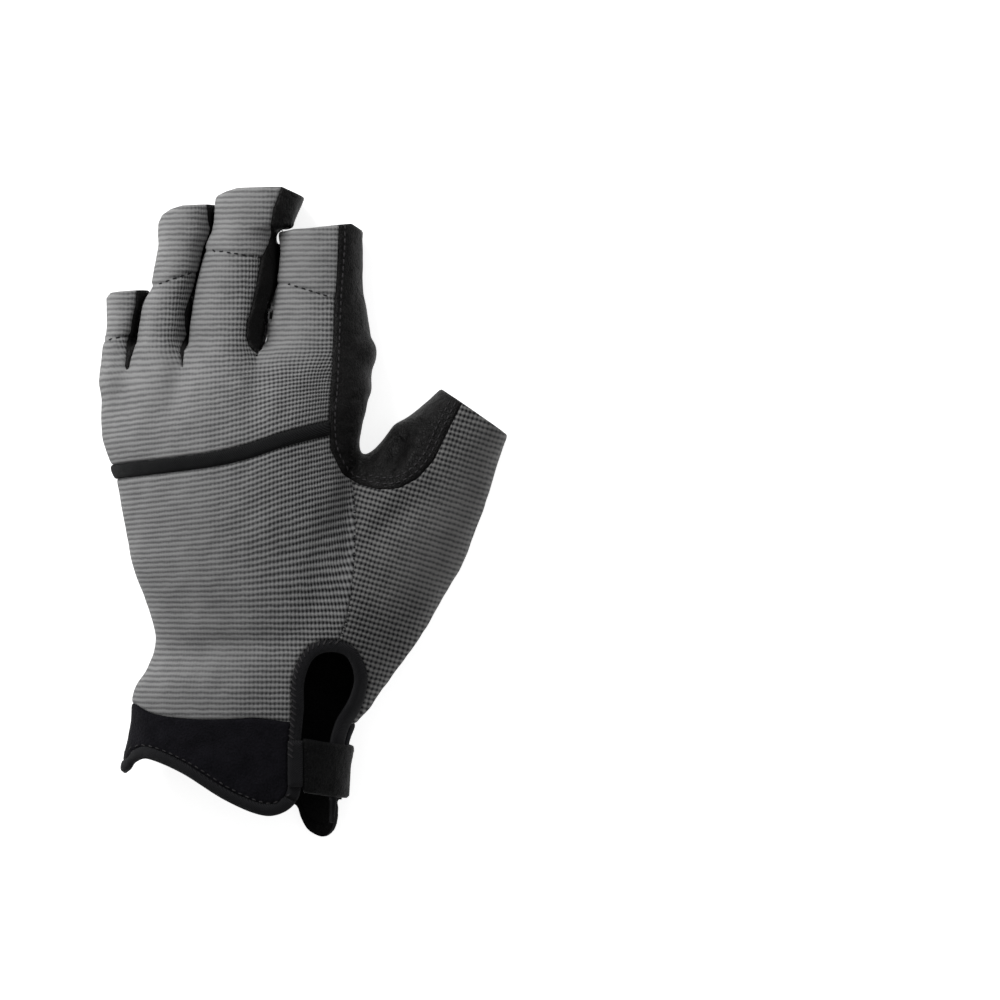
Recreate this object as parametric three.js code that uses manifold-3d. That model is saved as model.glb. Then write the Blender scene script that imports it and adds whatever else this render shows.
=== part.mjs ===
// A fingerless trekking glove for the left hand, lying palm down.
// Millimetres; the fingers point along +Y, the thumb is on the +X side, and +Z is up from the palm.
// The soft shell is lofted through short tables of sections, hollowed, and cut into its sewn panels.

import * as THREE from 'three';
import { mergeVertices } from 'three/addons/utils/BufferGeometryUtils.js';
import Module from 'manifold-3d';

const wasm = await Module();
wasm.setup();

// Hand
const PALM_WIDTH = 88;
const PALM_LENGTH = 117;
const PALM_DEPTH = 38;

// Fingers: reach is from the line of the finger slits to the hem
const LITTLE_REACH = 19.5;
const LITTLE_WIDTH = 13.2;
const LITTLE_DEPTH = 18;
const RING_REACH = 46.9;
const RING_WIDTH = 17.5;
const RING_DEPTH = 21;
const MIDDLE_REACH = 52.8;
const MIDDLE_WIDTH = 23.8;
const MIDDLE_DEPTH = 23;
const INDEX_REACH = 40.3;
const INDEX_WIDTH = 28.4;
const INDEX_DEPTH = 21;

// Thumb: its length runs from the heel of the hand to the hem
const THUMB_LENGTH = 101.5;
const THUMB_WIDTH = 27;
const THUMB_DEPTH = 29;
const THUMB_ANGLE = 55.3;

// Walls, seams and trims
const WALL = 1.8;
const SEAM_GAP = 0.3;
const TAPE_WIDTH = 4.6;
const TAPE_LIP = 0.7;
const BINDING_WIDTH = 4;
const BINDING_LIP = 0.5;
const STRAP_WIDTH = 17.5;
const STRAP_THICKNESS = 2;
const ANCHOR_THICKNESS = 2.4;

// Heights of the side seams above the surface that the palm rests on
const BACK_SEAM_HEIGHT = 14;
const PALM_SEAM_HEIGHT = 7;
const TAPE_END_HEIGHT = 11;

// Shape of a section: where its widest point lies between floor and top, how round its corners are,
// and how much further its underside would bulge if it did not lie flat
const WAIST_SHARE = 0.42;
const ROUNDNESS = 0.9;
const UNDER_BULGE = 1.3;

// Facets round each loft, and steps between two rows of a table
const PALM_SIDES = 28;
const FINGER_SIDES = 16;
const THUMB_SIDES = 20;
const PALM_STEPS = 2;
const FINGER_STEPS = 1;
const THUMB_STEPS = 2;
const KEYHOLE_STEPS = 14;

// Worked-out sizes
const HALF_WIDTH = PALM_WIDTH / 2;
const STRAP_ROOM = STRAP_THICKNESS + SEAM_GAP;
const SKY = PALM_DEPTH * 2;
const FAR = PALM_WIDTH / 2;
const HALF_GAP = SEAM_GAP / 2;

// Corners nearer to each other than this are one, and a mitre is no longer than this share allows
const MERGE_DISTANCE = 1e-4;
const SHARPEST_MITRE = 0.5;

// Plan positions that lie outside the hand, where zones may end: shares of HALF_WIDTH and of PALM_LENGTH
const OUTER_LEFT = -1.4;
const OUTER_RIGHT = 2.6;
const BEYOND_TIPS = 1.6;
const BELOW_CUFF = -0.9;

// Palm, from below the cuff's hem to the finger slits.
// along: share of PALM_LENGTH above the wrist seam. left and right: shares of half PALM_WIDTH.
// depth: share of PALM_DEPTH. lift: share of the strap's room by which the underside is raised.
const PALM_SECTIONS = [
  { along: -0.42, left: -0.91, right: 0.79, depth: 0.84, lift: 1 },
  { along: -0.18, left: -0.89, right: 0.81, depth: 0.87, lift: 1 },
  { along: -0.06, left: -0.83, right: 0.89, depth: 0.86, lift: 1 },
  { along: 0.04, left: -0.78, right: 0.99, depth: 0.89, lift: 1 },
  { along: 0.11, left: -0.66, right: 1.03, depth: 0.88, lift: 0.3 },
  { along: 0.18, left: -0.61, right: 1.02, depth: 0.88, lift: 0 },
  { along: 0.27, left: -0.66, right: 0.96, depth: 0.92, lift: 0 },
  { along: 0.38, left: -0.77, right: 0.92, depth: 0.97, lift: 0 },
  { along: 0.52, left: -0.85, right: 0.92, depth: 1.0, lift: 0 },
  { along: 0.63, left: -0.90, right: 0.92, depth: 1.0, lift: 0 },
  { along: 0.75, left: -1.01, right: 0.92, depth: 0.97, lift: 0 },
  { along: 0.86, left: -1.01, right: 0.98, depth: 0.90, lift: 0 },
  { along: 0.94, left: -1.02, right: 1.00, depth: 0.80, lift: 0 },
  { along: 1.0, left: -0.97, right: 0.97, depth: 0.66, lift: 0 },
];

// Fingers. at: share of the finger's reach beyond the slit line. across: share of half PALM_WIDTH.
// half: share of half the finger's width. depth and lift: shares of the finger's depth.
const LITTLE_SECTIONS = [
  { at: -1.36, across: -0.85, half: 0.80, depth: 1.30, lift: 0 },
  { at: 0, across: -0.89, half: 0.75, depth: 1.10, lift: 0 },
  { at: 0.34, across: -0.87, half: 0.75, depth: 1.02, lift: 0.02 },
  { at: 1, across: -0.83, half: 1.0, depth: 0.96, lift: 0.06 },
];
const RING_SECTIONS = [
  { at: -0.56, across: -0.58, half: 1.06, depth: 1.35, lift: 0 },
  { at: 0.04, across: -0.58, half: 0.94, depth: 1.15, lift: 0 },
  { at: 0.35, across: -0.51, half: 0.85, depth: 1.04, lift: 0.02 },
  { at: 0.70, across: -0.42, half: 0.89, depth: 1.0, lift: 0.04 },
  { at: 1, across: -0.39, half: 1.0, depth: 0.97, lift: 0.06 },
];
const MIDDLE_SECTIONS = [
  { at: -0.50, across: -0.11, half: 1.0, depth: 1.32, lift: 0 },
  { at: 0.03, across: -0.10, half: 0.99, depth: 1.15, lift: 0 },
  { at: 0.38, across: -0.03, half: 1.0, depth: 1.04, lift: 0.02 },
  { at: 0.62, across: 0.02, half: 0.92, depth: 1.0, lift: 0.03 },
  { at: 0.785, across: 0.04, half: 0.89, depth: 1.0, lift: 0.04 },
  { at: 0.86, across: 0.14, half: 1.17, depth: 1.0, lift: 0.05 },
  { at: 1, across: 0.17, half: 1.26, depth: 0.97, lift: 0.06 },
];
const INDEX_SECTIONS = [
  { at: -0.66, across: 0.57, half: 1.15, depth: 1.35, lift: 0 },
  { at: 0.04, across: 0.60, half: 1.26, depth: 1.15, lift: 0 },
  { at: 0.49, across: 0.61, half: 1.05, depth: 1.02, lift: 0.02 },
  { at: 0.82, across: 0.62, half: 0.98, depth: 1.0, lift: 0.04 },
  { at: 1, across: 0.62, half: 1.0, depth: 0.97, lift: 0.06 },
];

// Thumb. at: share of THUMB_LENGTH up a line that leaves the heel of the hand at THUMB_ANGLE.
// aside: share of THUMB_WIDTH outwards from that line. half: share of half THUMB_WIDTH.
// depth and lift: shares of THUMB_DEPTH.
const THUMB_HEEL = { across: 0.47, along: 0.113 };
const THUMB_SECTIONS = [
  { at: 0, aside: 0.08, half: 1.78, depth: 1.06, lift: 0.04 },
  { at: 0.18, aside: 0.13, half: 1.76, depth: 1.10, lift: 0 },
  { at: 0.37, aside: 0.11, half: 1.78, depth: 1.10, lift: 0 },
  { at: 0.58, aside: 0.05, half: 1.74, depth: 1.06, lift: 0 },
  { at: 0.77, aside: 0.02, half: 1.46, depth: 0.99, lift: 0.03 },
  { at: 0.90, aside: 0, half: 1.19, depth: 0.96, lift: 0.06 },
  { at: 1, aside: 0, half: 1.0, depth: 0.95, lift: 0.09 },
];

// Folds pressed into the cloth. side: 1 on the back of the hand, -1 on the palm side.
// across and along place its middle. angle: degrees from +X. length and width: shares of PALM_LENGTH.
// depth: share of PALM_DEPTH.
const FOLDS = [
  { side: 1, across: -0.84, along: 0.90, angle: 82, length: 0.10, width: 0.035, depth: 0.07 },
  { side: 1, across: -0.42, along: 0.92, angle: 78, length: 0.11, width: 0.035, depth: 0.07 },
  { side: 1, across: 0.16, along: 0.92, angle: 84, length: 0.12, width: 0.04, depth: 0.08 },
  { side: 1, across: 0.70, along: 0.86, angle: 88, length: 0.10, width: 0.04, depth: 0.03 },
  { side: 1, across: 0.86, along: 0.52, angle: 88, length: 0.14, width: 0.03, depth: 0.05 },
  { side: 1, across: -0.20, along: 0.16, angle: 8, length: 0.30, width: 0.04, depth: 0.03 },
  { side: 1, across: 1.12, along: 0.50, angle: 40, length: 0.14, width: 0.04, depth: 0.04 },
  { side: -1, across: -0.50, along: 1.08, angle: 10, length: 0.12, width: 0.04, depth: 0.07 },
  { side: -1, across: 0.02, along: 1.08, angle: 0, length: 0.14, width: 0.04, depth: 0.07 },
  { side: -1, across: 0.62, along: 1.06, angle: -8, length: 0.16, width: 0.04, depth: 0.08 },
];

// Seam lines, as pairs of across (share of half PALM_WIDTH) and along (share of PALM_LENGTH)
const KNUCKLE_LINE = [
  [-1.4, 0.64], [-1.09, 0.648], [-0.92, 0.656], [-0.58, 0.67], [-0.17, 0.69], [0.1, 0.713], [0.36, 0.746],
  [0.76, 0.783], [1.2, 0.81],
];
const INDEX_SEAM = [
  [0.78, 1.75], [0.77, 1.361], [0.76, 1.254], [0.74, 1.141], [0.72, 0.915], [0.70, 0.803], [0.72, 0.718],
  [0.81, 0.651], [0.92, 0.623], [1.07, 0.608], [1.22, 0.611], [1.36, 0.639], [1.48, 0.69], [1.58, 0.769],
  [1.69, 0.851], [1.79, 0.93],
];
const THUMB_BACK_SEAM = [
  [0.77, 0.183], [0.83, 0.239], [0.87, 0.324], [0.89, 0.437], [0.89, 0.549], [0.86, 0.72],
];
const THUMB_PALM_SEAM = [
  [1.79, 0.93], [1.69, 0.851], [1.57, 0.769], [1.37, 0.685], [1.04, 0.606], [0.49, 0.465], [0.16, 0.296],
  [-0.09, 0.155], [-0.26, 0.042], [-0.28, -0.3],
];
const PALM_OVERLAP = [
  [-1.4, 0.6], [-0.8, 0.651], [-0.56, 0.685], [-0.23, 0.789], [0.07, 0.915],
];
const PATCH_SEAM = [
  [3, 1.1], [1.06, 1.1], [1.06, 0.765], [0.8, 0.752], [0.17, 0.577], [-0.11, 0.437], [-0.17, 0.324],
  [-0.14, 0.225], [-0.07, -0.3], [3, -0.3],
];
const WRIST_LINE = [
  [-1.4, 0.06], [-1.03, 0.042], [-0.78, 0.023], [-0.58, -0.02], [-0.2, -0.037], [0.4, -0.048],
  [2.4, -0.025],
];
const BACK_HEM = [
  [-1.4, -0.235], [-0.88, -0.192], [-0.77, -0.158], [-0.65, -0.149], [-0.39, -0.189], [-0.09, -0.259],
  [0.16, -0.301], [0.32, -0.304], [0.49, -0.27],
];
const PALM_HEM = [
  [-1.4, -0.2], [-0.88, -0.192], [-0.65, -0.178], [-0.42, -0.208], [-0.09, -0.27], [0.16, -0.30],
  [0.46, -0.35], [0.61, -0.36], [0.71, -0.335], [0.79, -0.31], [1.4, -0.32],
];
const KEYHOLE_POINTS = [
  [0.55, -0.06], [0.52, 0.02], [0.51, 0.07], [0.585, 0.13], [0.70, 0.15], [0.83, 0.13], [0.885, 0.07],
  [0.82, 0.005], [0.75, -0.06],
];
const SLIT_LEFT = 0.49;
const SLIT_RIGHT = 0.72;

// Edges of the black side walls where they turn up onto the back of a finger
const LITTLE_SIDE_EDGE = [[-0.85, 0.94], [-0.81, 1.028], [-0.76, 1.141], [-0.75, 1.3]];
const LITTLE_SLIT = [[-0.81, 0.94], [-0.76, 1.03], [-0.715, 1.07], [-0.67, 1.175], [-0.64, 1.3]];
const RING_SIDE_EDGE = [
  [-0.42, 0.95], [-0.41, 1.014], [-0.36, 1.14], [-0.28, 1.28], [-0.24, 1.40], [-0.23, 1.6],
];
const RING_SLIT = [
  [-0.38, 0.95], [-0.38, 1.014], [-0.32, 1.14], [-0.236, 1.28], [-0.19, 1.40], [-0.17, 1.6],
];
const MIDDLE_SIDE_EDGE = [
  [0.13, 0.97], [0.15, 1.085], [0.20, 1.183], [0.24, 1.296], [0.25, 1.35], [0.35, 1.451], [0.38, 1.6],
];
const MIDDLE_SLIT = [
  [0.18, 0.97], [0.18, 1.014], [0.255, 1.17], [0.285, 1.28], [0.288, 1.35], [0.60, 1.354], [0.64, 1.6],
];

// The strap's middle line, and where its free end and its sewn end lie
const STRAP_MIDDLE = [[-0.42, -0.083], [1.5, -0.218]];
const STRAP_SEWN_END = 0.50;
const ANCHOR_BAND = { left: 0.39, low: -0.225, high: -0.095 };

const GREY_KNIT = new THREE.Color(0.19, 0.19, 0.185);
const DARK_LEATHER = new THREE.Color(0.03, 0.03, 0.034);
const DARK_CLOTH = new THREE.Color(0.012, 0.012, 0.013);

const group = new THREE.Group();

function place([across, along]) {
  return new THREE.Vector2(across * HALF_WIDTH, along * PALM_LENGTH);
}

// Moves a closed loop outwards by a distance, each corner along its bisector
function offsetLoop(loop, distance) {
  const turned = THREE.ShapeUtils.isClockWise(loop) ? [...loop].reverse() : loop;
  return turned.map((point, i) => {
    const before = turned[(i + turned.length - 1) % turned.length];
    const after = turned[(i + 1) % turned.length];
    const into = point.clone().sub(before).normalize();
    const out = after.clone().sub(point).normalize();
    const bisector = new THREE.Vector2(into.y + out.y, -into.x - out.x).normalize();
    const lean = Math.max(bisector.dot(new THREE.Vector2(into.y, -into.x)), SHARPEST_MITRE);
    return point.clone().addScaledVector(bisector, distance / lean);
  });
}

// A smooth line through the points of a seam
function smoothLine(pairs, count) {
  return new THREE.SplineCurve(pairs.map(place)).getPoints(count);
}

function solid(geometry) {
  geometry.deleteAttribute('normal');
  geometry.deleteAttribute('uv');
  const merged = mergeVertices(geometry, MERGE_DISTANCE);
  return new wasm.Manifold(new wasm.Mesh({
    numProp: 3,
    vertProperties: merged.attributes.position.array,
    triVerts: Uint32Array.from(merged.index.array),
  }));
}

function joined(solids) {
  return solids.reduce((sum, next) => sum.add(next));
}

// Reads one column of a table between its rows, along a smooth curve through them
function readColumn(rows, column, position) {
  const row = Math.min(Math.floor(position), rows.length - 2);
  const t = position - row;
  const value = (i) => rows[THREE.MathUtils.clamp(i, 0, rows.length - 1)][column];
  const from = value(row);
  const to = value(row + 1);
  const slopeIn = (to - value(row - 1)) / 2;
  const slopeOut = (value(row + 2) - from) / 2;
  const rise = to - from;
  const bend = 3 * rise - 2 * slopeIn - slopeOut;
  return from + t * slopeIn + t * t * bend + t ** 3 * (slopeIn + slopeOut - 2 * rise);
}

function stations(rows, steps) {
  const columns = Object.keys(rows[0]);
  const count = (rows.length - 1) * steps + 1;
  return Array.from({ length: count }, (_, i) => Object.fromEntries(
    columns.map((column) => [column, readColumn(rows, column, i / steps)]),
  ));
}

// How far the folds on one side of the hand press in at a point
function foldDepth(side, x, y) {
  return FOLDS.filter((fold) => fold.side === side).reduce((sum, fold) => {
    const middle = place([fold.across, fold.along]);
    const angle = THREE.MathUtils.degToRad(fold.angle);
    const offset = new THREE.Vector2(x, y).sub(middle).rotateAround(new THREE.Vector2(), -angle);
    const down = (offset.x / (fold.length * PALM_LENGTH)) ** 2;
    const aside = (offset.y / (fold.width * PALM_LENGTH)) ** 2;
    return sum + fold.depth * PALM_DEPTH * Math.exp(-(down + aside));
  }, 0);
}

// One ring of the soft form: crowned above, flattened below where it rests, and moved out by `outset`
function ring(centre, heading, half, lift, top, sides, outset) {
  const floor = Math.max(lift, 0);
  const waist = floor + (top - floor) * WAIST_SHARE;
  const loop = [];
  for (let i = 0; i < sides; i += 1) {
    const turn = (i + 0.5) / sides * Math.PI * 2;
    const rise = Math.sin(turn);
    const bulge = Math.sign(rise) * Math.abs(rise) ** ROUNDNESS;
    const z = rise > 0 ? waist + (top - waist) * bulge : waist + (waist - floor) * UNDER_BULGE * bulge;
    const s = Math.cos(turn);
    loop.push(new THREE.Vector2(half * Math.sign(s) * Math.abs(s) ** ROUNDNESS, Math.max(z, floor)));
  }
  const direction = new THREE.Vector2(Math.cos(heading), Math.sin(heading));
  return offsetLoop(loop, outset).map((point) => {
    const x = centre.x + direction.x * point.x;
    const y = centre.y + direction.y * point.x;
    const up = THREE.MathUtils.smoothstep(point.y, waist, top);
    const under = 1 - THREE.MathUtils.smoothstep(point.y, floor, waist);
    return new THREE.Vector3(x, y, point.y - up * foldDepth(1, x, y) + under * foldDepth(-1, x, y));
  });
}

function loft(rings) {
  const sides = rings[0].length;
  const points = rings.flat();
  const faces = [];
  for (let r = 0; r < rings.length - 1; r += 1) {
    for (let i = 0; i < sides; i += 1) {
      const a = r * sides + i;
      const b = r * sides + (i + 1) % sides;
      faces.push(a, b, b + sides, a, b + sides, a + sides);
    }
  }
  const last = (rings.length - 1) * sides;
  for (let i = 1; i < sides - 1; i += 1) {
    faces.push(0, i + 1, i, last, last + i, last + i + 1);
  }
  const geometry = new THREE.BufferGeometry().setFromPoints(points);
  geometry.setIndex(faces);
  const made = solid(geometry);
  if (made.volume() > 0) return made;
  const flipped = [];
  for (let i = 0; i < faces.length; i += 3) flipped.push(faces[i], faces[i + 2], faces[i + 1]);
  geometry.setIndex(flipped);
  return solid(geometry);
}

// A ring moved on in one direction, so that an open end runs out of the form that it hollows
function movedOn(ring, direction) {
  const step = direction.clone().setLength(FAR);
  return ring.map((point) => point.clone().add(step));
}

function palmLoft(outset, open) {
  const rows = stations(PALM_SECTIONS, PALM_STEPS);
  const rings = rows.map((row, i) => {
    const left = row.left * HALF_WIDTH;
    const right = row.right * HALF_WIDTH;
    const end = i === rows.length - 1 ? outset : 0;
    const centre = new THREE.Vector2((left + right) / 2, row.along * PALM_LENGTH + end);
    const floor = row.lift * STRAP_ROOM;
    return ring(centre, 0, (right - left) / 2, floor, row.depth * PALM_DEPTH, PALM_SIDES, outset);
  });
  if (open) rings.unshift(movedOn(rings[0], new THREE.Vector3(0, -1, 0)));
  return loft(rings);
}

function fingerLoft(sections, reach, width, depth, outset, open) {
  const rings = stations(sections, FINGER_STEPS).map((row) => {
    const centre = new THREE.Vector2(row.across * HALF_WIDTH, PALM_LENGTH + row.at * reach);
    return ring(centre, 0, row.half * width / 2, row.lift * depth, row.depth * depth, FINGER_SIDES, outset);
  });
  if (open) rings.push(movedOn(rings.at(-1), new THREE.Vector3(0, 1, 0)));
  return loft(rings);
}

function thumbLoft(outset, open) {
  const angle = THREE.MathUtils.degToRad(THUMB_ANGLE);
  const upward = new THREE.Vector2(Math.cos(angle), Math.sin(angle));
  const outward = new THREE.Vector2(Math.sin(angle), -Math.cos(angle));
  const heel = place([THUMB_HEEL.across, THUMB_HEEL.along]);
  const rings = stations(THUMB_SECTIONS, THUMB_STEPS).map((row) => {
    const centre = heel.clone().addScaledVector(upward, row.at * THUMB_LENGTH);
    centre.addScaledVector(outward, row.aside * THUMB_WIDTH);
    const half = row.half * THUMB_WIDTH / 2;
    const lift = row.lift * THUMB_DEPTH;
    return ring(centre, angle - Math.PI / 2, half, lift, row.depth * THUMB_DEPTH, THUMB_SIDES, outset);
  });
  if (open) rings.push(movedOn(rings.at(-1), new THREE.Vector3(upward.x, upward.y, 0)));
  return loft(rings);
}

// The whole soft form moved out by `outset`; open ends run on, so that what it hollows is open there
function form(outset, open = false) {
  return joined([
    palmLoft(outset, open),
    fingerLoft(LITTLE_SECTIONS, LITTLE_REACH, LITTLE_WIDTH, LITTLE_DEPTH, outset, open),
    fingerLoft(RING_SECTIONS, RING_REACH, RING_WIDTH, RING_DEPTH, outset, open),
    fingerLoft(MIDDLE_SECTIONS, MIDDLE_REACH, MIDDLE_WIDTH, MIDDLE_DEPTH, outset, open),
    fingerLoft(INDEX_SECTIONS, INDEX_REACH, INDEX_WIDTH, INDEX_DEPTH, outset, open),
    thumbLoft(outset, open),
  ]);
}

// A zone is a prism over a plan outline between two heights, which grows or shrinks by a given amount
function zone(outline, low, high) {
  return (grow) => {
    const shape = new THREE.Shape(offsetLoop(outline, grow));
    const depth = high - low + 2 * grow;
    const prism = solid(new THREE.ExtrudeGeometry(shape, { depth, bevelEnabled: false, steps: 1 }));
    return prism.translate([0, 0, low - grow]);
  };
}

function planZone(pairs, low, high) {
  return zone(pairs.map(place), low, high);
}

// The strip beside a line, from one distance to another on its left
function strip(line, near, far) {
  const side = (distance) => line.map((point, i) => {
    const before = line[Math.max(i - 1, 0)];
    const after = line[Math.min(i + 1, line.length - 1)];
    const into = (i === 0 ? after.clone().sub(point) : point.clone().sub(before)).normalize();
    const out = (i === line.length - 1 ? point.clone().sub(before) : after.clone().sub(point)).normalize();
    const bisector = new THREE.Vector2(-into.y - out.y, into.x + out.x).normalize();
    const lean = Math.max(bisector.dot(new THREE.Vector2(-into.y, into.x)), SHARPEST_MITRE);
    return point.clone().addScaledVector(bisector, distance / lean);
  });
  return [...side(near), ...side(far).reverse()];
}

function zones(list) {
  return (grow) => joined(list.map((one) => one(grow)));
}

const indexSideZone = planZone([...INDEX_SEAM, [3, 0.93], [3, 1.75]], PALM_SEAM_HEIGHT, SKY);
const knuckleBand = zone(
  strip(KNUCKLE_LINE.map(place), -TAPE_WIDTH / 2, TAPE_WIDTH / 2),
  TAPE_END_HEIGHT,
  SKY,
);
const tapeZone = (grow) => knuckleBand(grow).subtract(indexSideZone(-grow));
const keyholeEdge = smoothLine(KEYHOLE_POINTS, KEYHOLE_STEPS);
const slitLeft = [[SLIT_LEFT, -0.8], [SLIT_LEFT, -0.15]].map(place);
const slitRight = [[SLIT_RIGHT, -0.15], [SLIT_RIGHT, -0.8]].map(place);
const slotZone = zone([...slitLeft, ...keyholeEdge, ...slitRight], BACK_SEAM_HEIGHT, SKY);
const keyholeZone = zone(strip(keyholeEdge, 0, BINDING_WIDTH), BACK_SEAM_HEIGHT, SKY);
const backHemZone = zone(strip(BACK_HEM.map(place), 0, BINDING_WIDTH), BACK_SEAM_HEIGHT, SKY);
const palmHemLow = zone(strip(PALM_HEM.map(place), 0, BINDING_WIDTH), -1, BACK_SEAM_HEIGHT);
const palmHemHigh = zone(strip(PALM_HEM.slice(-3).map(place), 0, BINDING_WIDTH), PALM_SEAM_HEIGHT, SKY);
const wristRight = WRIST_LINE.at(-1);

const shell = form(0).subtract(form(-WALL, true)).subtract(slotZone(0));
const tapeLayer = form(TAPE_LIP).subtract(form(-WALL, true));
const bindingLayer = form(BINDING_LIP).subtract(form(-WALL - BINDING_LIP, true)).subtract(slotZone(0));

const pieces = [];

function keep(name, material, piece) {
  pieces.push({ name, material, piece });
}

// Cuts a panel out of what is left of the shell, with half a seam gap all round it
let rest = shell;
function take(name, material, where) {
  keep(name, material, rest.intersect(where(-HALF_GAP)));
  rest = rest.subtract(where(HALF_GAP));
}

const knit = new THREE.MeshStandardMaterial({ color: GREY_KNIT, roughness: 0.95, metalness: 0 });
const leather = new THREE.MeshStandardMaterial({ color: DARK_LEATHER, roughness: 0.55, metalness: 0 });
const cloth = new THREE.MeshStandardMaterial({ color: DARK_CLOTH, roughness: 0.9, metalness: 0 });

// Trims that stand proud of the panels
keep('knuckle_tape', cloth, tapeLayer.intersect(tapeZone(-HALF_GAP)));
rest = rest.subtract(tapeZone(HALF_GAP));
keep('keyhole_binding', cloth, bindingLayer.intersect(keyholeZone(-HALF_GAP)));
rest = rest.subtract(keyholeZone(HALF_GAP));
keep('back_hem_binding', cloth, bindingLayer.intersect(backHemZone(-HALF_GAP)));
rest = rest.subtract(backHemZone(HALF_GAP));
const palmHem = zones([palmHemLow, palmHemHigh]);
keep('palm_hem_binding', cloth, bindingLayer.intersect(palmHem(-HALF_GAP)).subtract(backHemZone(HALF_GAP)));
rest = rest.subtract(palmHem(HALF_GAP));

// Cuffs, between the wrist line and the hems
take('cuff_back', cloth, planZone(
  [...WRIST_LINE.slice(0, -1), [0.6, -0.047], ...BACK_HEM.toReversed()],
  BACK_SEAM_HEIGHT,
  SKY,
));
take('cuff_palm', cloth, zones([
  planZone([...WRIST_LINE, ...PALM_HEM.toReversed()], -1, BACK_SEAM_HEIGHT),
  planZone(
    [[0.70, -0.046], wristRight, PALM_HEM.at(-1), PALM_HEM.at(-2), [0.70, -0.34]],
    PALM_SEAM_HEIGHT,
    SKY,
  ),
]));

// What lies below the wrist line and the hems is cut away
const belowWrist = [...WRIST_LINE, [wristRight[0], BELOW_CUFF], [OUTER_LEFT, BELOW_CUFF]];
rest = rest.subtract(planZone(belowWrist, -SKY, SKY)(HALF_GAP));

// Side leather and thumb
take('index_side_panel', leather, indexSideZone);
take('thumb_panel', knit, zones([
  planZone(
    [[0.77, -0.3], ...THUMB_BACK_SEAM, [0.92, 1.3], [OUTER_RIGHT, 1.3], [OUTER_RIGHT, -0.3]],
    BACK_SEAM_HEIGHT - 1,
    SKY,
  ),
  planZone([...THUMB_PALM_SEAM, [OUTER_RIGHT, -0.3], [OUTER_RIGHT, 0.93]], -1, BACK_SEAM_HEIGHT),
]));

// Side walls between the fingers
const AXES = {
  little: [[-0.88, 0.97], [-0.83, 1.3]],
  ring: [[-0.58, 0.97], [-0.42, 1.28], [-0.39, BEYOND_TIPS]],
  middle: [[-0.10, 0.97], [0.02, 1.28], [0.17, BEYOND_TIPS]],
  index: [[0.60, 0.97], [0.62, BEYOND_TIPS]],
};

function sideWall(left, right, edge, slit) {
  return zones([
    planZone([...AXES[left], ...AXES[right].toReversed()], PALM_SEAM_HEIGHT, BACK_SEAM_HEIGHT),
    planZone([...edge, ...slit.toReversed()], PALM_SEAM_HEIGHT, SKY),
  ]);
}

take('fourchette_little_ring', leather, sideWall('little', 'ring', LITTLE_SIDE_EDGE, LITTLE_SLIT));
take('fourchette_ring_middle', leather, sideWall('ring', 'middle', RING_SIDE_EDGE, RING_SLIT));
take('fourchette_middle_index', leather, sideWall('middle', 'index', MIDDLE_SIDE_EDGE, MIDDLE_SLIT));

// Back of the hand
const aboveKnuckles = [...KNUCKLE_LINE, [1.2, 1.8], [OUTER_LEFT, 1.8]];
take('back_fingers', knit, planZone(aboveKnuckles, BACK_SEAM_HEIGHT, SKY));
take('back_hand', knit, planZone([...WRIST_LINE, ...KNUCKLE_LINE.toReversed()], BACK_SEAM_HEIGHT, SKY));

// Palm side
take('palm_patch', leather, planZone(PATCH_SEAM, -1, BACK_SEAM_HEIGHT));
take('palm_upper', leather, planZone(
  [...PALM_OVERLAP, ...MIDDLE_SLIT, [OUTER_LEFT, BEYOND_TIPS]],
  -1,
  BACK_SEAM_HEIGHT,
));
take('palm_lower', leather, planZone(
  [[OUTER_LEFT, -0.3], [1.5, -0.3], [1.5, BEYOND_TIPS], [OUTER_LEFT, BEYOND_TIPS]],
  -1,
  BACK_SEAM_HEIGHT,
));

// The strap runs from the slit's back edge round the thumb side and under the cuff to its free end
const strapMiddle = STRAP_MIDDLE.map(place);
const strapBand = strip(strapMiddle, -STRAP_WIDTH / 2, STRAP_WIDTH / 2);
const strapTop = zone(strapBand, PALM_SEAM_HEIGHT, SKY);
const strapUnder = zone(strapBand, -STRAP_ROOM, BACK_SEAM_HEIGHT);
const backOfSlit = planZone(
  [[-2, -1], [STRAP_SEWN_END, -1], [STRAP_SEWN_END, 1], [-2, 1]],
  BACK_SEAM_HEIGHT,
  SKY,
);
const strapLayer = form(SEAM_GAP + STRAP_THICKNESS).subtract(form(SEAM_GAP));
const strap = strapLayer.intersect(joined([strapTop(0), strapUnder(0)])).subtract(backOfSlit(HALF_GAP));
keep('wrist_strap', leather, strap);

const anchorZone = planZone([
  [ANCHOR_BAND.left, ANCHOR_BAND.low],
  [STRAP_SEWN_END, ANCHOR_BAND.low],
  [STRAP_SEWN_END, ANCHOR_BAND.high],
  [ANCHOR_BAND.left, ANCHOR_BAND.high],
], BACK_SEAM_HEIGHT, SKY);
const anchorLayer = form(SEAM_GAP + ANCHOR_THICKNESS).subtract(form(SEAM_GAP));
keep('strap_anchor', cloth, anchorLayer.intersect(anchorZone(-HALF_GAP)).subtract(backHemZone(HALF_GAP)));

for (const { name, material, piece } of pieces) {
  const { vertProperties, triVerts } = piece.getMesh();
  const geometry = new THREE.BufferGeometry();
  geometry.setAttribute('position', new THREE.BufferAttribute(vertProperties, 3));
  geometry.setIndex(new THREE.BufferAttribute(triVerts, 1));
  const mesh = new THREE.Mesh(geometry, material);
  mesh.name = name;
  group.add(mesh);
}

// The origin is the middle of the underside of the whole glove
const box = new THREE.Box3().setFromObject(group);
const middle = box.getCenter(new THREE.Vector3());
group.position.set(-middle.x, -middle.y, -box.min.z);

export default group;
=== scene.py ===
import math

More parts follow.
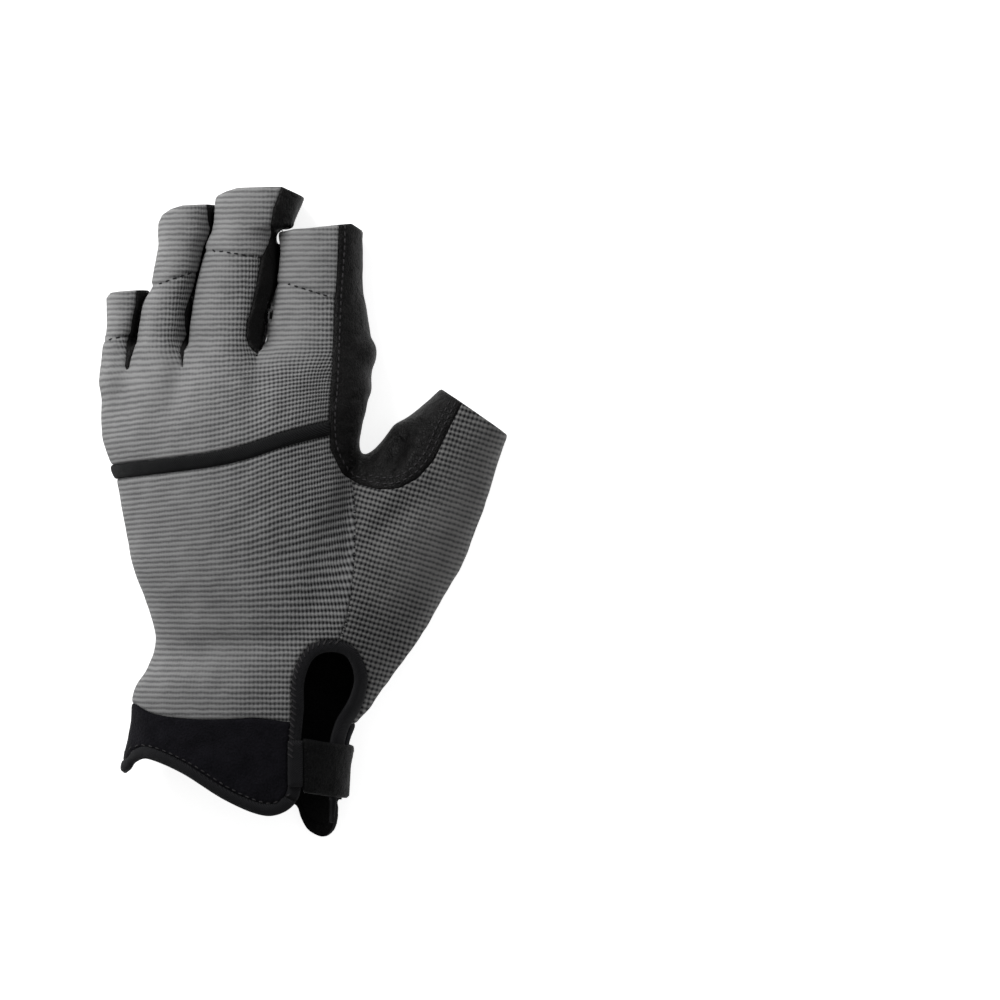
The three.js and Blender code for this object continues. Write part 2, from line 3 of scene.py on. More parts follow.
import bpy
import numpy as np
from mathutils import Matrix, Vector, noise
from mathutils.bvhtree import BVHTree
from mathutils.kdtree import KDTree


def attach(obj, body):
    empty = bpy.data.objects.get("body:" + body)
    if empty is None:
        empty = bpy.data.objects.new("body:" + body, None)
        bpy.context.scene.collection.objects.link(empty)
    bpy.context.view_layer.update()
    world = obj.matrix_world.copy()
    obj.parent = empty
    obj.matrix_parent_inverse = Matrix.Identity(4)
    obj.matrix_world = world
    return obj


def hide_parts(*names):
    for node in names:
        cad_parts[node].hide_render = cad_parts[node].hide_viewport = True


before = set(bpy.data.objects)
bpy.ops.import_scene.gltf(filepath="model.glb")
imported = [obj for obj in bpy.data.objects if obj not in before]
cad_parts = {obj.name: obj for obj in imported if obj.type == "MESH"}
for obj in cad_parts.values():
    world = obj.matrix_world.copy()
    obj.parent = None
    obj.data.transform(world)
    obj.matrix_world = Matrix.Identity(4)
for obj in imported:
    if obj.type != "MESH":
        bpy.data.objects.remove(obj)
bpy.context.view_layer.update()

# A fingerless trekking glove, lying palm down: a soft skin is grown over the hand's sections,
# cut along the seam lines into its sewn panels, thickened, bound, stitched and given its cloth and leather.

# Sizes of the hand, in millimetres, as the frame's solids have them
PALM_WIDTH = 88
PALM_LENGTH = 117
PALM_DEPTH = 38
LITTLE = dict(reach=19.5, width=13.2, depth=18)
RING = dict(reach=46.9, width=17.5, depth=21)
MIDDLE = dict(reach=52.8, width=23.8, depth=23)
INDEX = dict(reach=40.3, width=28.4, depth=21)
THUMB_LENGTH = 101.5
THUMB_WIDTH = 27
THUMB_DEPTH = 29
THUMB_ANGLE = math.radians(55.3)
STRAP_ROOM = 2.3
HALF_WIDTH = PALM_WIDTH / 2

# Where the middle of the wrist seam lies in the frame
WRIST_IN_FRAME = (-22.405, -63.919)

BACK_SEAM_HEIGHT = 14
PALM_SEAM_HEIGHT = 7
# On the fingers the back's cloth reaches further down, and the gaps between them lean, seen from the tips
FINGER_SEAM_HEIGHT = 7.5
LOW_WALL_HEIGHT = 3.5
SLIT_LEAN = 0.12
SLIT_TOP = 20
TAPE_END_HEIGHT = 11
TAPE_WIDTH = 4.6
BINDING_WIDTH = 4
STRAP_WIDTH = 17.5

# The grid that the skin is grown on, the form of its sections and how softly its parts run together
GRID_STEP = 0.75
GRID_LOW = (-48, -46, -1.5)
GRID_HIGH = (93, 174, 40)
SECTION_POWER = 2.2
WAIST = 0.42
UNDER_SPREAD = 1.3
WEB_BLEND = 5.0
THUMB_BLEND = 6.0
CORNER_BLEND = 5.0
FLOOR_BLEND = 1.6
KNUCKLE_BLEND = 3.0
THUMB_HEEL_BLEND = 4.0
LUMP_BLEND = 4.0
SLIT_BLEND = 0.8
CUT_BLEND = 0.5

# How far the tubes reach past the hems at which they are cut off
HEM_SPARE = 1.2
THUMB_SPARE = 2

# A finger's tube thins away over this length of its root, inside the palm
ROOT_LENGTH = 20
ROOT_THINNING = 30
TUBE_DEEPEST = -12

# The folds of the back fade in over this height above the back seam
FOLD_RISE = 10

# along, left, right, depth, lift: as shares of PALM_LENGTH, half PALM_WIDTH, PALM_DEPTH and the strap's room
PALM_SECTIONS = [
    (-0.42, -0.90, 0.79, 0.84, 1), (-0.18, -0.86, 0.81, 0.87, 1), (-0.06, -0.80, 0.89, 0.86, 1),
    (0.04, -0.77, 0.99, 0.89, 1), (0.11, -0.66, 1.03, 0.88, 0.3), (0.18, -0.61, 1.02, 0.88, 0),
    (0.27, -0.66, 0.96, 0.92, 0), (0.38, -0.77, 0.92, 0.97, 0), (0.52, -0.85, 0.92, 1.0, 0),
    (0.63, -0.90, 0.92, 1.0, 0), (0.75, -1.01, 0.92, 0.97, 0), (0.86, -1.01, 0.985, 0.90, 0),
    (0.925, -1.02, 0.975, 0.82, 0), (1.0, -0.97, 0.97, 0.66, 0),
]

# at (share of the reach), across (of half PALM_WIDTH), half (of half the width), depth, lift (of the depth)
LITTLE_SECTIONS = [
    (-1.36, -0.85, 0.80, 1.30, 0), (0, -0.89, 0.75, 1.10, 0), (0.34, -0.87, 0.75, 1.02, 0.02),
    (1, -0.83, 1.0, 0.96, 0.06),
]
RING_SECTIONS = [
    (-0.56, -0.58, 1.06, 1.35, 0), (0.04, -0.575, 1.0, 1.15, 0), (0.20, -0.558, 1.045, 1.09, 0.01),
    (0.35, -0.523, 1.02, 1.04, 0.02), (0.44, -0.478, 0.90, 1.02, 0.02), (0.70, -0.423, 0.885, 1.0, 0.04),
    (0.84, -0.393, 1.0, 1.0, 0.05), (1, -0.381, 1.05, 0.97, 0.06),
]
MIDDLE_SECTIONS = [
    (-0.50, -0.11, 1.0, 1.32, 0), (0.03, -0.0765, 1.078, 1.15, 0), (0.2, -0.052, 1.16, 1.09, 0.01),
    (0.38, -0.025, 1.146, 1.04, 0.02),
    (0.62, 0.017, 1.04, 1.0, 0.03), (0.735, 0.045, 0.92, 1.0, 0.04), (0.775, 0.10, 1.11, 1.0, 0.05),
    (0.81, 0.1125, 1.12, 1.0, 0.05),
    (0.9, 0.145, 1.2, 1.0, 0.05), (1, 0.18, 1.3, 0.97, 0.06),
]
INDEX_SECTIONS = [
    (-0.66, 0.57, 1.15, 1.35, 0), (0.04, 0.60, 1.26, 1.15, 0), (0.49, 0.61, 1.05, 1.02, 0.02),
    (0.82, 0.62, 0.98, 1.0, 0.04), (1, 0.62, 1.0, 0.97, 0.06),
]

# at (share of THUMB_LENGTH), aside (of THUMB_WIDTH), half (of half THUMB_WIDTH), depth, lift (of THUMB_DEPTH)
THUMB_HEEL = (0.47, 0.113)
THUMB_SECTIONS = [
    (0, 0.08, 1.78, 1.06, 0.04), (0.18, 0.13, 1.76, 1.10, 0), (0.37, 0.11, 1.78, 1.10, 0),
    (0.58, 0.05, 1.74, 1.06, 0), (0.77, 0.02, 1.46, 0.99, 0.03), (0.90, 0, 1.19, 0.96, 0.06),
    (1, 0, 1.0, 0.95, 0.09),
]

# side, across, along, angle, length, width (of PALM_LENGTH), depth (of PALM_DEPTH)
FOLDS = [
    (1, -0.84, 0.90, 82, 0.10, 0.035, 0.07), (1, -0.42, 0.92, 78, 0.11, 0.035, 0.07),
    (1, 0.16, 0.92, 84, 0.12, 0.04, 0.08), (1, 0.70, 0.86, 88, 0.10, 0.04, 0.03),
    (1, 0.86, 0.52, 88, 0.14, 0.03, 0.05), (1, -0.20, 0.16, 8, 0.30, 0.04, 0.03),
    (1, 1.12, 0.50, 40, 0.14, 0.04, 0.04), (1, 1.20, 0.73, 75, 0.07, 0.03, 0.14),
    (-1, -0.50, 1.08, 10, 0.12, 0.04, 0.07), (-1, 0.02, 1.08, 0, 0.14, 0.04, 0.07),
    (-1, 0.62, 1.06, -8, 0.16, 0.04, 0.08),
]

# Seam lines, as pairs of across and along
KNUCKLE_LINE = [
    (-1.4, 0.64), (-1.09, 0.648), (-0.92, 0.656), (-0.58, 0.67), (-0.17, 0.69), (0.1, 0.713), (0.36, 0.746),
    (0.76, 0.783), (1.2, 0.81),
]
INDEX_SEAM = [
    (0.78, 1.75), (0.77, 1.361), (0.76, 1.254), (0.74, 1.141), (0.72, 0.915), (0.70, 0.803), (0.72, 0.718),
    (0.81, 0.651), (0.92, 0.623), (1.07, 0.608), (1.22, 0.611), (1.36, 0.639), (1.48, 0.69), (1.58, 0.769),
    (1.69, 0.851), (1.79, 0.93),
]
THUMB_BACK_SEAM = [(0.77, 0.183), (0.83, 0.239), (0.87, 0.324), (0.89, 0.437), (0.89, 0.549), (0.86, 0.72)]
THUMB_PALM_SEAM = [
    (1.79, 0.93), (1.69, 0.851), (1.57, 0.769), (1.37, 0.685), (1.04, 0.606), (0.49, 0.465), (0.16, 0.296),
    (-0.09, 0.155), (-0.26, 0.042), (-0.28, -0.3),
]
PALM_OVERLAP = [(-1.4, 0.6), (-0.8, 0.651), (-0.56, 0.685), (-0.23, 0.789), (0.07, 0.915)]
PATCH_SEAM = [
    (3, 1.1), (1.06, 1.1), (1.06, 0.765), (0.8, 0.752), (0.17, 0.577), (-0.11, 0.437), (-0.17, 0.324),
    (-0.14, 0.225), (-0.07, -0.3), (3, -0.3),
]
WRIST_LINE = [
    (-1.4, 0.04), (-1.03, 0.022), (-0.78, 0.005), (-0.706, -0.009), (-0.572, -0.026), (-0.28, -0.0365),
    (0, -0.035), (0.15, -0.032), (0.4, -0.044), (0.8, -0.055), (2.4, -0.04),
]
BACK_HEM = [
    (-1.4, -0.235), (-0.88, -0.192), (-0.77, -0.158), (-0.65, -0.149), (-0.39, -0.189), (-0.09, -0.259),
    (0.16, -0.301), (0.32, -0.304), (0.49, -0.27),
]
PALM_HEM = [
    (-1.4, -0.17), (-0.88, -0.162), (-0.77, -0.142), (-0.65, -0.137), (-0.39, -0.176), (-0.09, -0.245),
    (0.16, -0.285), (0.36, -0.283), (0.44, -0.29), (0.475, -0.325), (0.53, -0.357), (0.61, -0.373),
    (0.67, -0.375), (0.722, -0.358), (0.75, -0.325), (0.765, -0.27), (0.95, -0.25), (1.4, -0.25),
]
KEYHOLE_EDGE = [
    (0.49, -0.8), (0.49, -0.25), (0.495, -0.1), (0.515, -0.01), (0.52, 0.07), (0.585, 0.132), (0.70, 0.152),
    (0.835, 0.137), (0.90, 0.075), (0.86, 0.01), (0.765, -0.05), (0.72, -0.12), (0.72, -0.3), (0.72, -0.8),
]
SLIT_LEFT = 0.49
SLIT_RIGHT = 0.72
LITTLE_SIDE_EDGE = [
    (-0.83, 0.955), (-0.815, 1.024), (-0.797, 1.076), (-0.77, 1.128), (-0.76, 1.18), (-0.75, 1.3),
]
LITTLE_SLIT = [
    (-0.81, 0.94), (-0.77, 1.024), (-0.755, 1.076), (-0.728, 1.128), (-0.667, 1.175), (-0.64, 1.3),
]
RING_SIDE_EDGE = [
    (-0.405, 0.995), (-0.40, 1.024), (-0.385, 1.102), (-0.357, 1.154), (-0.326, 1.201), (-0.30, 1.245),
    (-0.27, 1.28), (-0.215, 1.335), (-0.226, 1.37), (-0.236, 1.42), (-0.24, 1.6),
]
RING_SLIT = [
    (-0.385, 0.95), (-0.381, 1.024), (-0.367, 1.102), (-0.347, 1.154), (-0.319, 1.201), (-0.293, 1.245),
    (-0.262, 1.28), (-0.203, 1.337), (-0.18, 1.40), (-0.17, 1.6),
]
MIDDLE_SIDE_EDGE = [
    (0.16, 0.995), (0.118, 1.012), (0.095, 1.0345), (0.0985, 1.076), (0.125, 1.107), (0.153, 1.16),
    (0.174, 1.206), (0.1945, 1.2585), (0.236, 1.295), (0.2846, 1.394), (0.34, 1.451), (0.37, 1.6),
]
MIDDLE_SLIT = [
    (0.17, 0.97), (0.175, 1.006), (0.195, 1.04), (0.20, 1.076), (0.2125, 1.1075), (0.229, 1.1335),
    (0.254, 1.165), (0.282, 1.2012), (0.29, 1.2324), (0.297, 1.2845), (0.289, 1.32), (0.288, 1.335),
]
# Where the slit turns along the index finger's hem, and the edge of the middle finger's flare above it
MIDDLE_SLIT_END = [(0.288, 1.335), (0.315, 1.343), (0.428, 1.350), (0.60, 1.356)]
FLARE_EDGE = [(0.43, 1.33), (0.60, 1.45)]
FINGER_AXES = dict(
    little=[(-0.88, 0.97), (-0.83, 1.3)],
    ring=[(-0.58, 0.97), (-0.42, 1.28), (-0.39, 1.6)],
    middle=[(-0.10, 0.97), (0.02, 1.28), (0.17, 1.6)],
    index=[(0.60, 0.97), (0.62, 1.6)],
)
# The hems of the fingers, from their left to their right end
TIP_LINES = dict(
    little=[(-0.977, 1.155), (-0.953, 1.163), (-0.893, 1.166), (-0.675, 1.171)],
    ring=[(-0.589, 1.370), (-0.57, 1.383), (-0.503, 1.397), (-0.405, 1.407), (-0.214, 1.411)],
    middle=[
        (-0.195, 1.394), (-0.18, 1.414), (-0.143, 1.437), (-0.075, 1.448), (0.008, 1.456), (0.345, 1.459),
        (0.51, 1.431)],
    index=[
        (0.285, 1.324), (0.315, 1.334), (0.428, 1.341), (0.634, 1.347), (0.773, 1.353), (0.87, 1.357),
        (0.938, 1.341)],
)
# Where the doubled hem of each finger is stitched down, on the back
HEM_LINES = dict(
    little=[(-0.975, 1.028), (-0.80, 1.042)], ring=[(-0.60, 1.183), (-0.34, 1.217)],
    middle=[(-0.2025, 1.2817), (0.1875, 1.259)], index=[(0.36, 1.189), (0.70, 1.149)],
)
# Soft lumps of the leather between thumb and index finger: across, along, height and radius in millimetres
LUMPS = [(1.27, 0.752, 12, 4.8), (0.95, 0.992, 12, 3.1)]
LUMP_STRETCH = 1.6
STRAP_MIDDLE = [(-0.42, -0.10), (1.5, -0.235)]
STRAP_SEWN_END = 0.50
ANCHOR_BAND = dict(left=0.39, low=-0.225, high=-0.095)
# What lies further to the right than this share of half PALM_WIDTH belongs to the thumb
THUMB_SIDE = 1.1
# A value for what lies well away from a line
FAR_BEHIND = -9


def place(pairs):
    return np.array(pairs, float) * (HALF_WIDTH, PALM_LENGTH)


def smooth_rows(rows, steps=12):
    """The rows of a table with smooth ones between them, as the part's own sections are."""
    table = np.array(rows, float)
    out = []
    for i in range(len(table) - 1):
        a, b = table[i], table[i + 1]
        before, after = table[max(i - 1, 0)], table[min(i + 2, len(table) - 1)]
        slope_in, slope_out, rise = (b - before) / 2, (after - a) / 2, b - a
        for t in np.arange(steps) / steps:
            bend = t * t * (3 * rise - 2 * slope_in - slope_out) + t ** 3 * (slope_in + slope_out - 2 * rise)
            out.append(a + t * slope_in + bend)
    out.append(table[-1])
    return np.array(out)


def smooth_line(pairs, steps=8):
    return smooth_rows(place(pairs), steps)


def smooth_min(a, b, blend):
    h = np.clip(0.5 + 0.5 * (b - a) / blend, 0, 1)
    return b + (a - b) * h - blend * h * (1 - h)


def smooth_max(a, b, blend):
    return -smooth_min(-a, -b, blend)


def smoothstep(value, low, high):
    t = np.clip((value - low) / (high - low), 0, 1)
    return t * t * (3 - 2 * t)


def section_field(offset, z, half, floor, top):
    """Roughly the distance outside a crowned section that lies flat below."""
    floor = np.maximum(floor, 0)
    waist = floor + (top - floor) * WAIST
    reach = np.where(z > waist, top - waist, (waist - floor) * UNDER_SPREAD)
    u = np.abs(offset) / half + 1e-6
    v = np.abs(z - waist) / reach + 1e-6
    r = (u ** SECTION_POWER + v ** SECTION_POWER) ** (1 / SECTION_POWER)
    slope = np.hypot((u / r) ** (SECTION_POWER - 1) / half, (v / r) ** (SECTION_POWER - 1) / reach)
    return smooth_max((r - 1) / slope, floor - z, FLOOR_BLEND)


def columns(rows, at, wanted=(1, 2, 3, 4)):
    """The values of a table's columns at places given as its first column has them."""
    return [np.interp(at, rows[:, 0], rows[:, i]) for i in wanted]


PALM_ROWS = smooth_rows(PALM_SECTIONS)
THUMB_ROWS = smooth_rows(THUMB_SECTIONS)


def palm_field(x, y, z):
    left, right, depth, lift = columns(PALM_ROWS, y / PALM_LENGTH)
    middle = (left + right) / 2 * HALF_WIDTH
    half = (right - left) / 2 * HALF_WIDTH
    body = section_field(x - middle, z, half, lift * STRAP_ROOM, depth * PALM_DEPTH)
    return smooth_max(body, y - PALM_LENGTH, KNUCKLE_BLEND)


def finger_field(x, y, z, rows, size, tips):
    """A finger's tube, which thins away inside the palm and ends a little past the hem."""
    at = (y - PALM_LENGTH) / size["reach"]
    across, half, depth, lift = columns(rows, at)
    body = section_field(
        x - across * HALF_WIDTH, z, half * size["width"] / 2, lift * size["depth"], depth * size["depth"])
    root = (at - rows[0, 0]) * size["reach"]
    body = np.maximum(body, TUBE_DEEPEST) + ROOT_THINNING * (1 - smoothstep(root, 0, ROOT_LENGTH)) ** 3
    return smooth_max(body, y - np.interp(x, tips[:, 0], tips[:, 1]) - HEM_SPARE, CUT_BLEND)


def thumb_field(x, y, z):
    heel = place([THUMB_HEEL])[0]
    up = (math.cos(THUMB_ANGLE), math.sin(THUMB_ANGLE))
    along = (x - heel[0]) * up[0] + (y - heel[1]) * up[1]
    out = (x - heel[0]) * up[1] - (y - heel[1]) * up[0]
    at = along / THUMB_LENGTH
    aside, half, depth, lift = columns(THUMB_ROWS, at)
    body = section_field(
        out - aside * THUMB_WIDTH, z, half * THUMB_WIDTH / 2, lift * THUMB_DEPTH, depth * THUMB_DEPTH)
    body = smooth_max(body, -along, THUMB_HEEL_BLEND)
    return smooth_max(body, along - THUMB_LENGTH - THUMB_SPARE, CUT_BLEND)


def fold_depth(side, x, y):
    """How far the folds of one side press it in: side is 1 for the back and -1 for the palm."""
    total = np.zeros_like(x)
    for fold_side, across, along, angle, length, width, depth in FOLDS:
        if fold_side != side:
            continue
        turn = math.radians(angle)
        dx = x - across * HALF_WIDTH
        dy = y - along * PALM_LENGTH
        a = (dx * math.cos(turn) + dy * math.sin(turn)) / (length * PALM_LENGTH)
        b = (dy * math.cos(turn) - dx * math.sin(turn)) / (width * PALM_LENGTH)
        total += depth * PALM_DEPTH * np.exp(-a * a - b * b)
    return total


def line_distance(x, y, line):
    best = np.full(x.shape, 1e9)
    for a, b in zip(line[:-1], line[1:]):
        d = b - a
        t = np.clip(((x - a[0]) * d[0] + (y - a[1]) * d[1]) / (d @ d), 0, 1)
        best = np.minimum(best, (x - a[0] - t * d[0]) ** 2 + (y - a[1] - t * d[1]) ** 2)
    return np.sqrt(best)


FINGERS = [
    (smooth_rows(rows), size, place(TIP_LINES[finger])) for finger, rows, size in (
        ("little", LITTLE_SECTIONS, LITTLE), ("ring", RING_SECTIONS, RING),
        ("middle", MIDDLE_SECTIONS, MIDDLE), ("index", INDEX_SECTIONS, INDEX))
]
# Half the width of the free gap between two fingers
SLITS = [(LITTLE_SLIT[1:], 0.5), (RING_SLIT[1:], 0.45), (MIDDLE_SLIT[1:], 0.5), (MIDDLE_SLIT_END, 0.45)]


def glove_field(x, y, z):
    up = smoothstep(z, BACK_SEAM_HEIGHT, BACK_SEAM_HEIGHT + FOLD_RISE)
    under = 1 - smoothstep(z, 0, BACK_SEAM_HEIGHT)
    lowered = z + up * fold_depth(1, x, y) - under * fold_depth(-1, x, y)
    palm = palm_field(x, y, lowered)
    whole = smooth_min(palm, thumb_field(x, y, lowered), THUMB_BLEND)
    for rows, size, tips in FINGERS:
        finger = smooth_min(palm, finger_field(x, y, lowered, rows, size, tips), WEB_BLEND)
        whole = np.minimum(whole, finger)
    for across, along, height, radius in LUMPS:
        dx, dy, dz = x - across * HALF_WIDTH, y - along * PALM_LENGTH, (z - height) / LUMP_STRETCH
        whole = smooth_min(whole, np.sqrt(dx * dx + dy * dy + dz * dz) - radius, LUMP_BLEND)
    for line, width in SLITS:
        straightened = x - SLIT_LEAN * (SLIT_TOP - z)
        whole = smooth_max(whole, width - line_distance(straightened, y, place(line)), SLIT_BLEND)
    return smooth_max(whole, -lowered, CUT_BLEND)


def surface_net(low, high, step):
    """A quad skin on the glove's field, one point in each grid cell that the skin crosses."""
    axes = [np.arange(low[i], high[i] + step, step) for i in range(3)]
    x, y, z = np.meshgrid(*axes, indexing="ij")
    values = glove_field(x, y, z)
    inside = values < 0
    cells = [n - 1 for n in values.shape]
    total = np.zeros((cells[0] * cells[1] * cells[2], 3))
    count = np.zeros(len(total))
    quads = []
    for axis in range(3):
        others = [i for i in range(3) if i != axis]
        start = [slice(None)] * 3
        end = [slice(None)] * 3
        start[axis] = slice(0, -1)
        end[axis] = slice(1, None)
        crossed = inside[tuple(start)] != inside[tuple(end)]
        index = np.argwhere(crossed)
        last = np.array(values.shape)[others] - 1
        index = index[np.all((index[:, others] > 0) & (index[:, others] < last), axis=1)]
        ahead = index.copy()
        ahead[:, axis] += 1
        a = values[tuple(index.T)]
        b = values[tuple(ahead.T)]
        point = index.astype(float)
        point[:, axis] += a / (a - b)
        corners = []
        for shift_a, shift_b in ((-1, -1), (0, -1), (0, 0), (-1, 0)):
            cell = index.copy()
            cell[:, others[0]] += shift_a
            cell[:, others[1]] += shift_b
            flat = np.ravel_multi_index(tuple(cell.T), cells)
            corners.append(flat)
            for i in range(3):
                total[:, i] += np.bincount(flat, point[:, i], len(total))
            count += np.bincount(flat, minlength=len(total))
        corners = np.stack(corners, 1)
        flip = inside[tuple(index.T)] == (axis == 1)
        corners[flip] = corners[flip][:, ::-1]
        quads.append(corners)
    quads = np.concatenate(quads)
    used, quads = np.unique(quads, return_inverse=True)
    points = total[used] / count[used][:, None] * step + np.array([a[0] for a in axes])
    return points, quads.reshape(-1, 4)


def field_slope(points, reach=0.05):
    """Which way and how steeply the glove's field rises at each point."""
    slope = np.empty_like(points)
    for i in range(3):
        ahead, behind = points.copy(), points.copy()
        ahead[:, i] += reach
        behind[:, i] -= reach
        slope[:, i] = (glove_field(*ahead.T) - glove_field(*behind.T)) / (2 * reach)
    return slope


def settle(points, rounds=3):
    """Moves the points onto the skin, by a limited step in each round."""
    for _ in range(rounds):
        slope = field_slope(points)
        size = np.maximum((slope ** 2).sum(1), 0.05)
        step = (glove_field(*points.T) / size)[:, None] * slope
        length = np.linalg.norm(step, axis=1, keepdims=True)
        points = points - step * np.minimum(1, 0.6 / np.maximum(length, 1e-9))
    return points


def unit(vectors):
    return vectors / np.maximum(np.linalg.norm(vectors, axis=1, keepdims=True), 1e-9)


# Zones over the skin: each gives a value that is positive inside
def plan(points, outline):
    """Distance inside a closed outline drawn on the plan of the hand."""
    x, y = points[:, 0], points[:, 1]
    loop = np.vstack([outline, outline[:1]])
    inside = np.zeros(len(points), bool)
    for a, b in zip(loop[:-1], loop[1:]):
        spans = (a[1] > y) != (b[1] > y)
        rise = b[1] - a[1] if b[1] != a[1] else 1e-9
        inside ^= spans & (x < (b[0] - a[0]) * (y - a[1]) / rise + a[0])
    return np.where(inside, 1, -1) * line_distance(x, y, loop)


def above(points, height):
    return points[:, 2] - height


def below(points, height):
    return height - points[:, 2]


def both(*fields):
    return np.minimum.reduce(fields)


def either(*fields):
    return np.maximum.reduce(fields)


def split(skin, values):
    """Cuts a triangle skin along the line where the values are nought, into the inside and the rest."""
    points, faces = skin
    values = np.where(np.abs(values) < 1e-4, 1e-4, values)
    positive = values > 0
    edges = np.sort(np.concatenate([faces[:, [0, 1]], faces[:, [1, 2]], faces[:, [2, 0]]]), axis=1)
    edges = np.unique(edges[positive[edges[:, 0]] != positive[edges[:, 1]]], axis=0)
    a, b = edges.T
    t = values[a] / (values[a] - values[b])
    t = np.clip(t, 0.02, 0.98)
    new = points[a] + (points[b] - points[a]) * t[:, None]
    everything = np.vstack([points, new])
    keys = edges[:, 0].astype(np.int64) * len(points) + edges[:, 1]

    def middle(p, q):
        low, high = np.minimum(p, q), np.maximum(p, q)
        return len(points) + np.searchsorted(keys, low.astype(np.int64) * len(points) + high)

    parts = []
    for side in (positive, ~positive):
        flags = side[faces]
        count = flags.sum(1)
        made = [faces[count == 3]]
        for k in range(3):
            one = faces[(count == 1) & flags[:, k]]
            p, q, r = one[:, k], one[:, (k + 1) % 3], one[:, (k + 2) % 3]
            if len(one):
                made.append(np.stack([p, middle(p, q), middle(p, r)], 1))
            two = faces[(count == 2) & ~flags[:, k]]
            p, q, r = two[:, k], two[:, (k + 1) % 3], two[:, (k + 2) % 3]
            if len(two):
                made.append(np.stack([middle(p, q), q, r], 1))
                made.append(np.stack([middle(p, q), r, middle(p, r)], 1))
        made = np.concatenate(made)
        used, renumbered = np.unique(made, return_inverse=True)
        parts.append((everything[used], renumbered.reshape(-1, 3)))
    return parts


def border_edges(faces):
    edges = np.concatenate([faces[:, [0, 1]], faces[:, [1, 2]], faces[:, [2, 0]]])
    keys = np.sort(edges, axis=1)
    _, index, counts = np.unique(keys, axis=0, return_index=True, return_counts=True)
    return edges[index[counts == 1]]


def border_distance(points, faces, past=4.0):
    """How far each point lies from the panel's edge, measured no further than past."""
    edge = border_edges(faces)
    tree = KDTree(2 * len(edge))
    a, b = points[edge[:, 0]], points[edge[:, 1]]
    for i, (p, q) in enumerate(zip(a, b)):
        tree.insert(p, 2 * i)
        tree.insert((p + q) / 2, 2 * i + 1)
    tree.balance()
    return np.array([min(tree.find(p)[2], past) for p in points])


# The whole skin, grown once
points, quads = surface_net(GRID_LOW, GRID_HIGH, GRID_STEP)
points = settle(points)
whole_skin = (points, np.concatenate([quads[:, [0, 1, 2]], quads[:, [0, 2, 3]]]))
skin = whole_skin
panels = {}


def take(name, field):
    """Cuts the panel of that name out of what is left of the skin. A panel without a name is thrown away."""
    global skin
    panel, skin = split(skin, field(skin[0]))
    if name:
        panels[name] = panel


def height_of(points, line):
    """How far each point lies up the hand from a line that crosses it."""
    row = smooth_line(line)
    order = np.argsort(row[:, 0])
    return points[:, 1] - np.interp(points[:, 0], row[order, 0], row[order, 1])


def upright(points):
    """The points with the lean of the gaps between the fingers taken out."""
    straightened = points.copy()
    straightened[:, 0] -= SLIT_LEAN * (SLIT_TOP - points[:, 2])
    return straightened


def slit_side(points, line):
    """How far each point lies to the right of a line that runs up the hand."""
    row = smooth_line(line)
    return upright(points)[:, 0] - np.interp(points[:, 1], row[:, 1], row[:, 0])


def seam_height(points):
    """How high the seam between the back and the palm side runs."""
    on_finger = smoothstep(points[:, 1], 0.9 * PALM_LENGTH, PALM_LENGTH)
    return BACK_SEAM_HEIGHT + (FINGER_SEAM_HEIGHT - BACK_SEAM_HEIGHT) * on_finger


def zone(points, pairs):
    return plan(points, place(pairs))


def right_of(points, across):
    return points[:, 0] - across * HALF_WIDTH


def by_finger(points, lines):
    """How far up the hand each point lies from the line of the finger that it is on."""
    drawn = {name: place(line) for name, line in lines.items()}
    past = {n: points[:, 1] - np.interp(points[:, 0], t[:, 0], t[:, 1]) for n, t in drawn.items()}
    over_index = (height_of(points, MIDDLE_SLIT_END) > 0) & (slit_side(points, FLARE_EDGE) < 0)
    value = np.where((slit_side(points, MIDDLE_SLIT) > 0) & ~over_index, past["index"], past["middle"])
    value = np.where(slit_side(points, RING_SLIT) > 0, value, past["ring"])
    return np.where(slit_side(points, LITTLE_SLIT) > 0, value, past["little"])


def past_tips(points):
    return np.where(right_of(points, THUMB_SIDE) > 0, FAR_BEHIND, by_finger(points, TIP_LINES))


def thumb_place(points):
    """How far up the thumb each point lies, and how far to its outer side."""
    heel = place([THUMB_HEEL])[0]
    dx, dy = points[:, 0] - heel[0], points[:, 1] - heel[1]
    c, s = math.cos(THUMB_ANGLE), math.sin(THUMB_ANGLE)
    return dx * c + dy * s, dx * s - dy * c


def past_thumb(points):
    along, out = thumb_place(points)
    return np.where(right_of(points, THUMB_SIDE) > 0, along - THUMB_LENGTH, FAR_BEHIND)


keyhole_outline = smooth_line(KEYHOLE_EDGE)


def keyhole(points):
    return plan(points, keyhole_outline)


def back_hem(points):
    past_slit = right_of(points, SLIT_RIGHT) > 0
    return np.where(past_slit, height_of(points, PALM_HEM), height_of(points, BACK_HEM))


def past_cut(points):
    """How far past the back's cut edge each point lies: the hem, the slit and their rounded corner."""
    return smooth_max(-back_hem(points), keyhole(points), CORNER_BLEND)


def index_side(points):
    return both(above(points, PALM_SEAM_HEIGHT), zone(points, INDEX_SEAM + [(3, 0.93), (3, 1.75)]))


def thumb(points):
    top = zone(points, [(0.77, -0.3)] + THUMB_BACK_SEAM + [(0.92, 1.3), (2.6, 1.3), (2.6, -0.3)])
    under = zone(points, THUMB_PALM_SEAM + [(2.6, -0.3), (2.6, 0.93)])
    upper = both(above(points, BACK_SEAM_HEIGHT - 1), top)
    return either(upper, both(below(points, BACK_SEAM_HEIGHT), under))


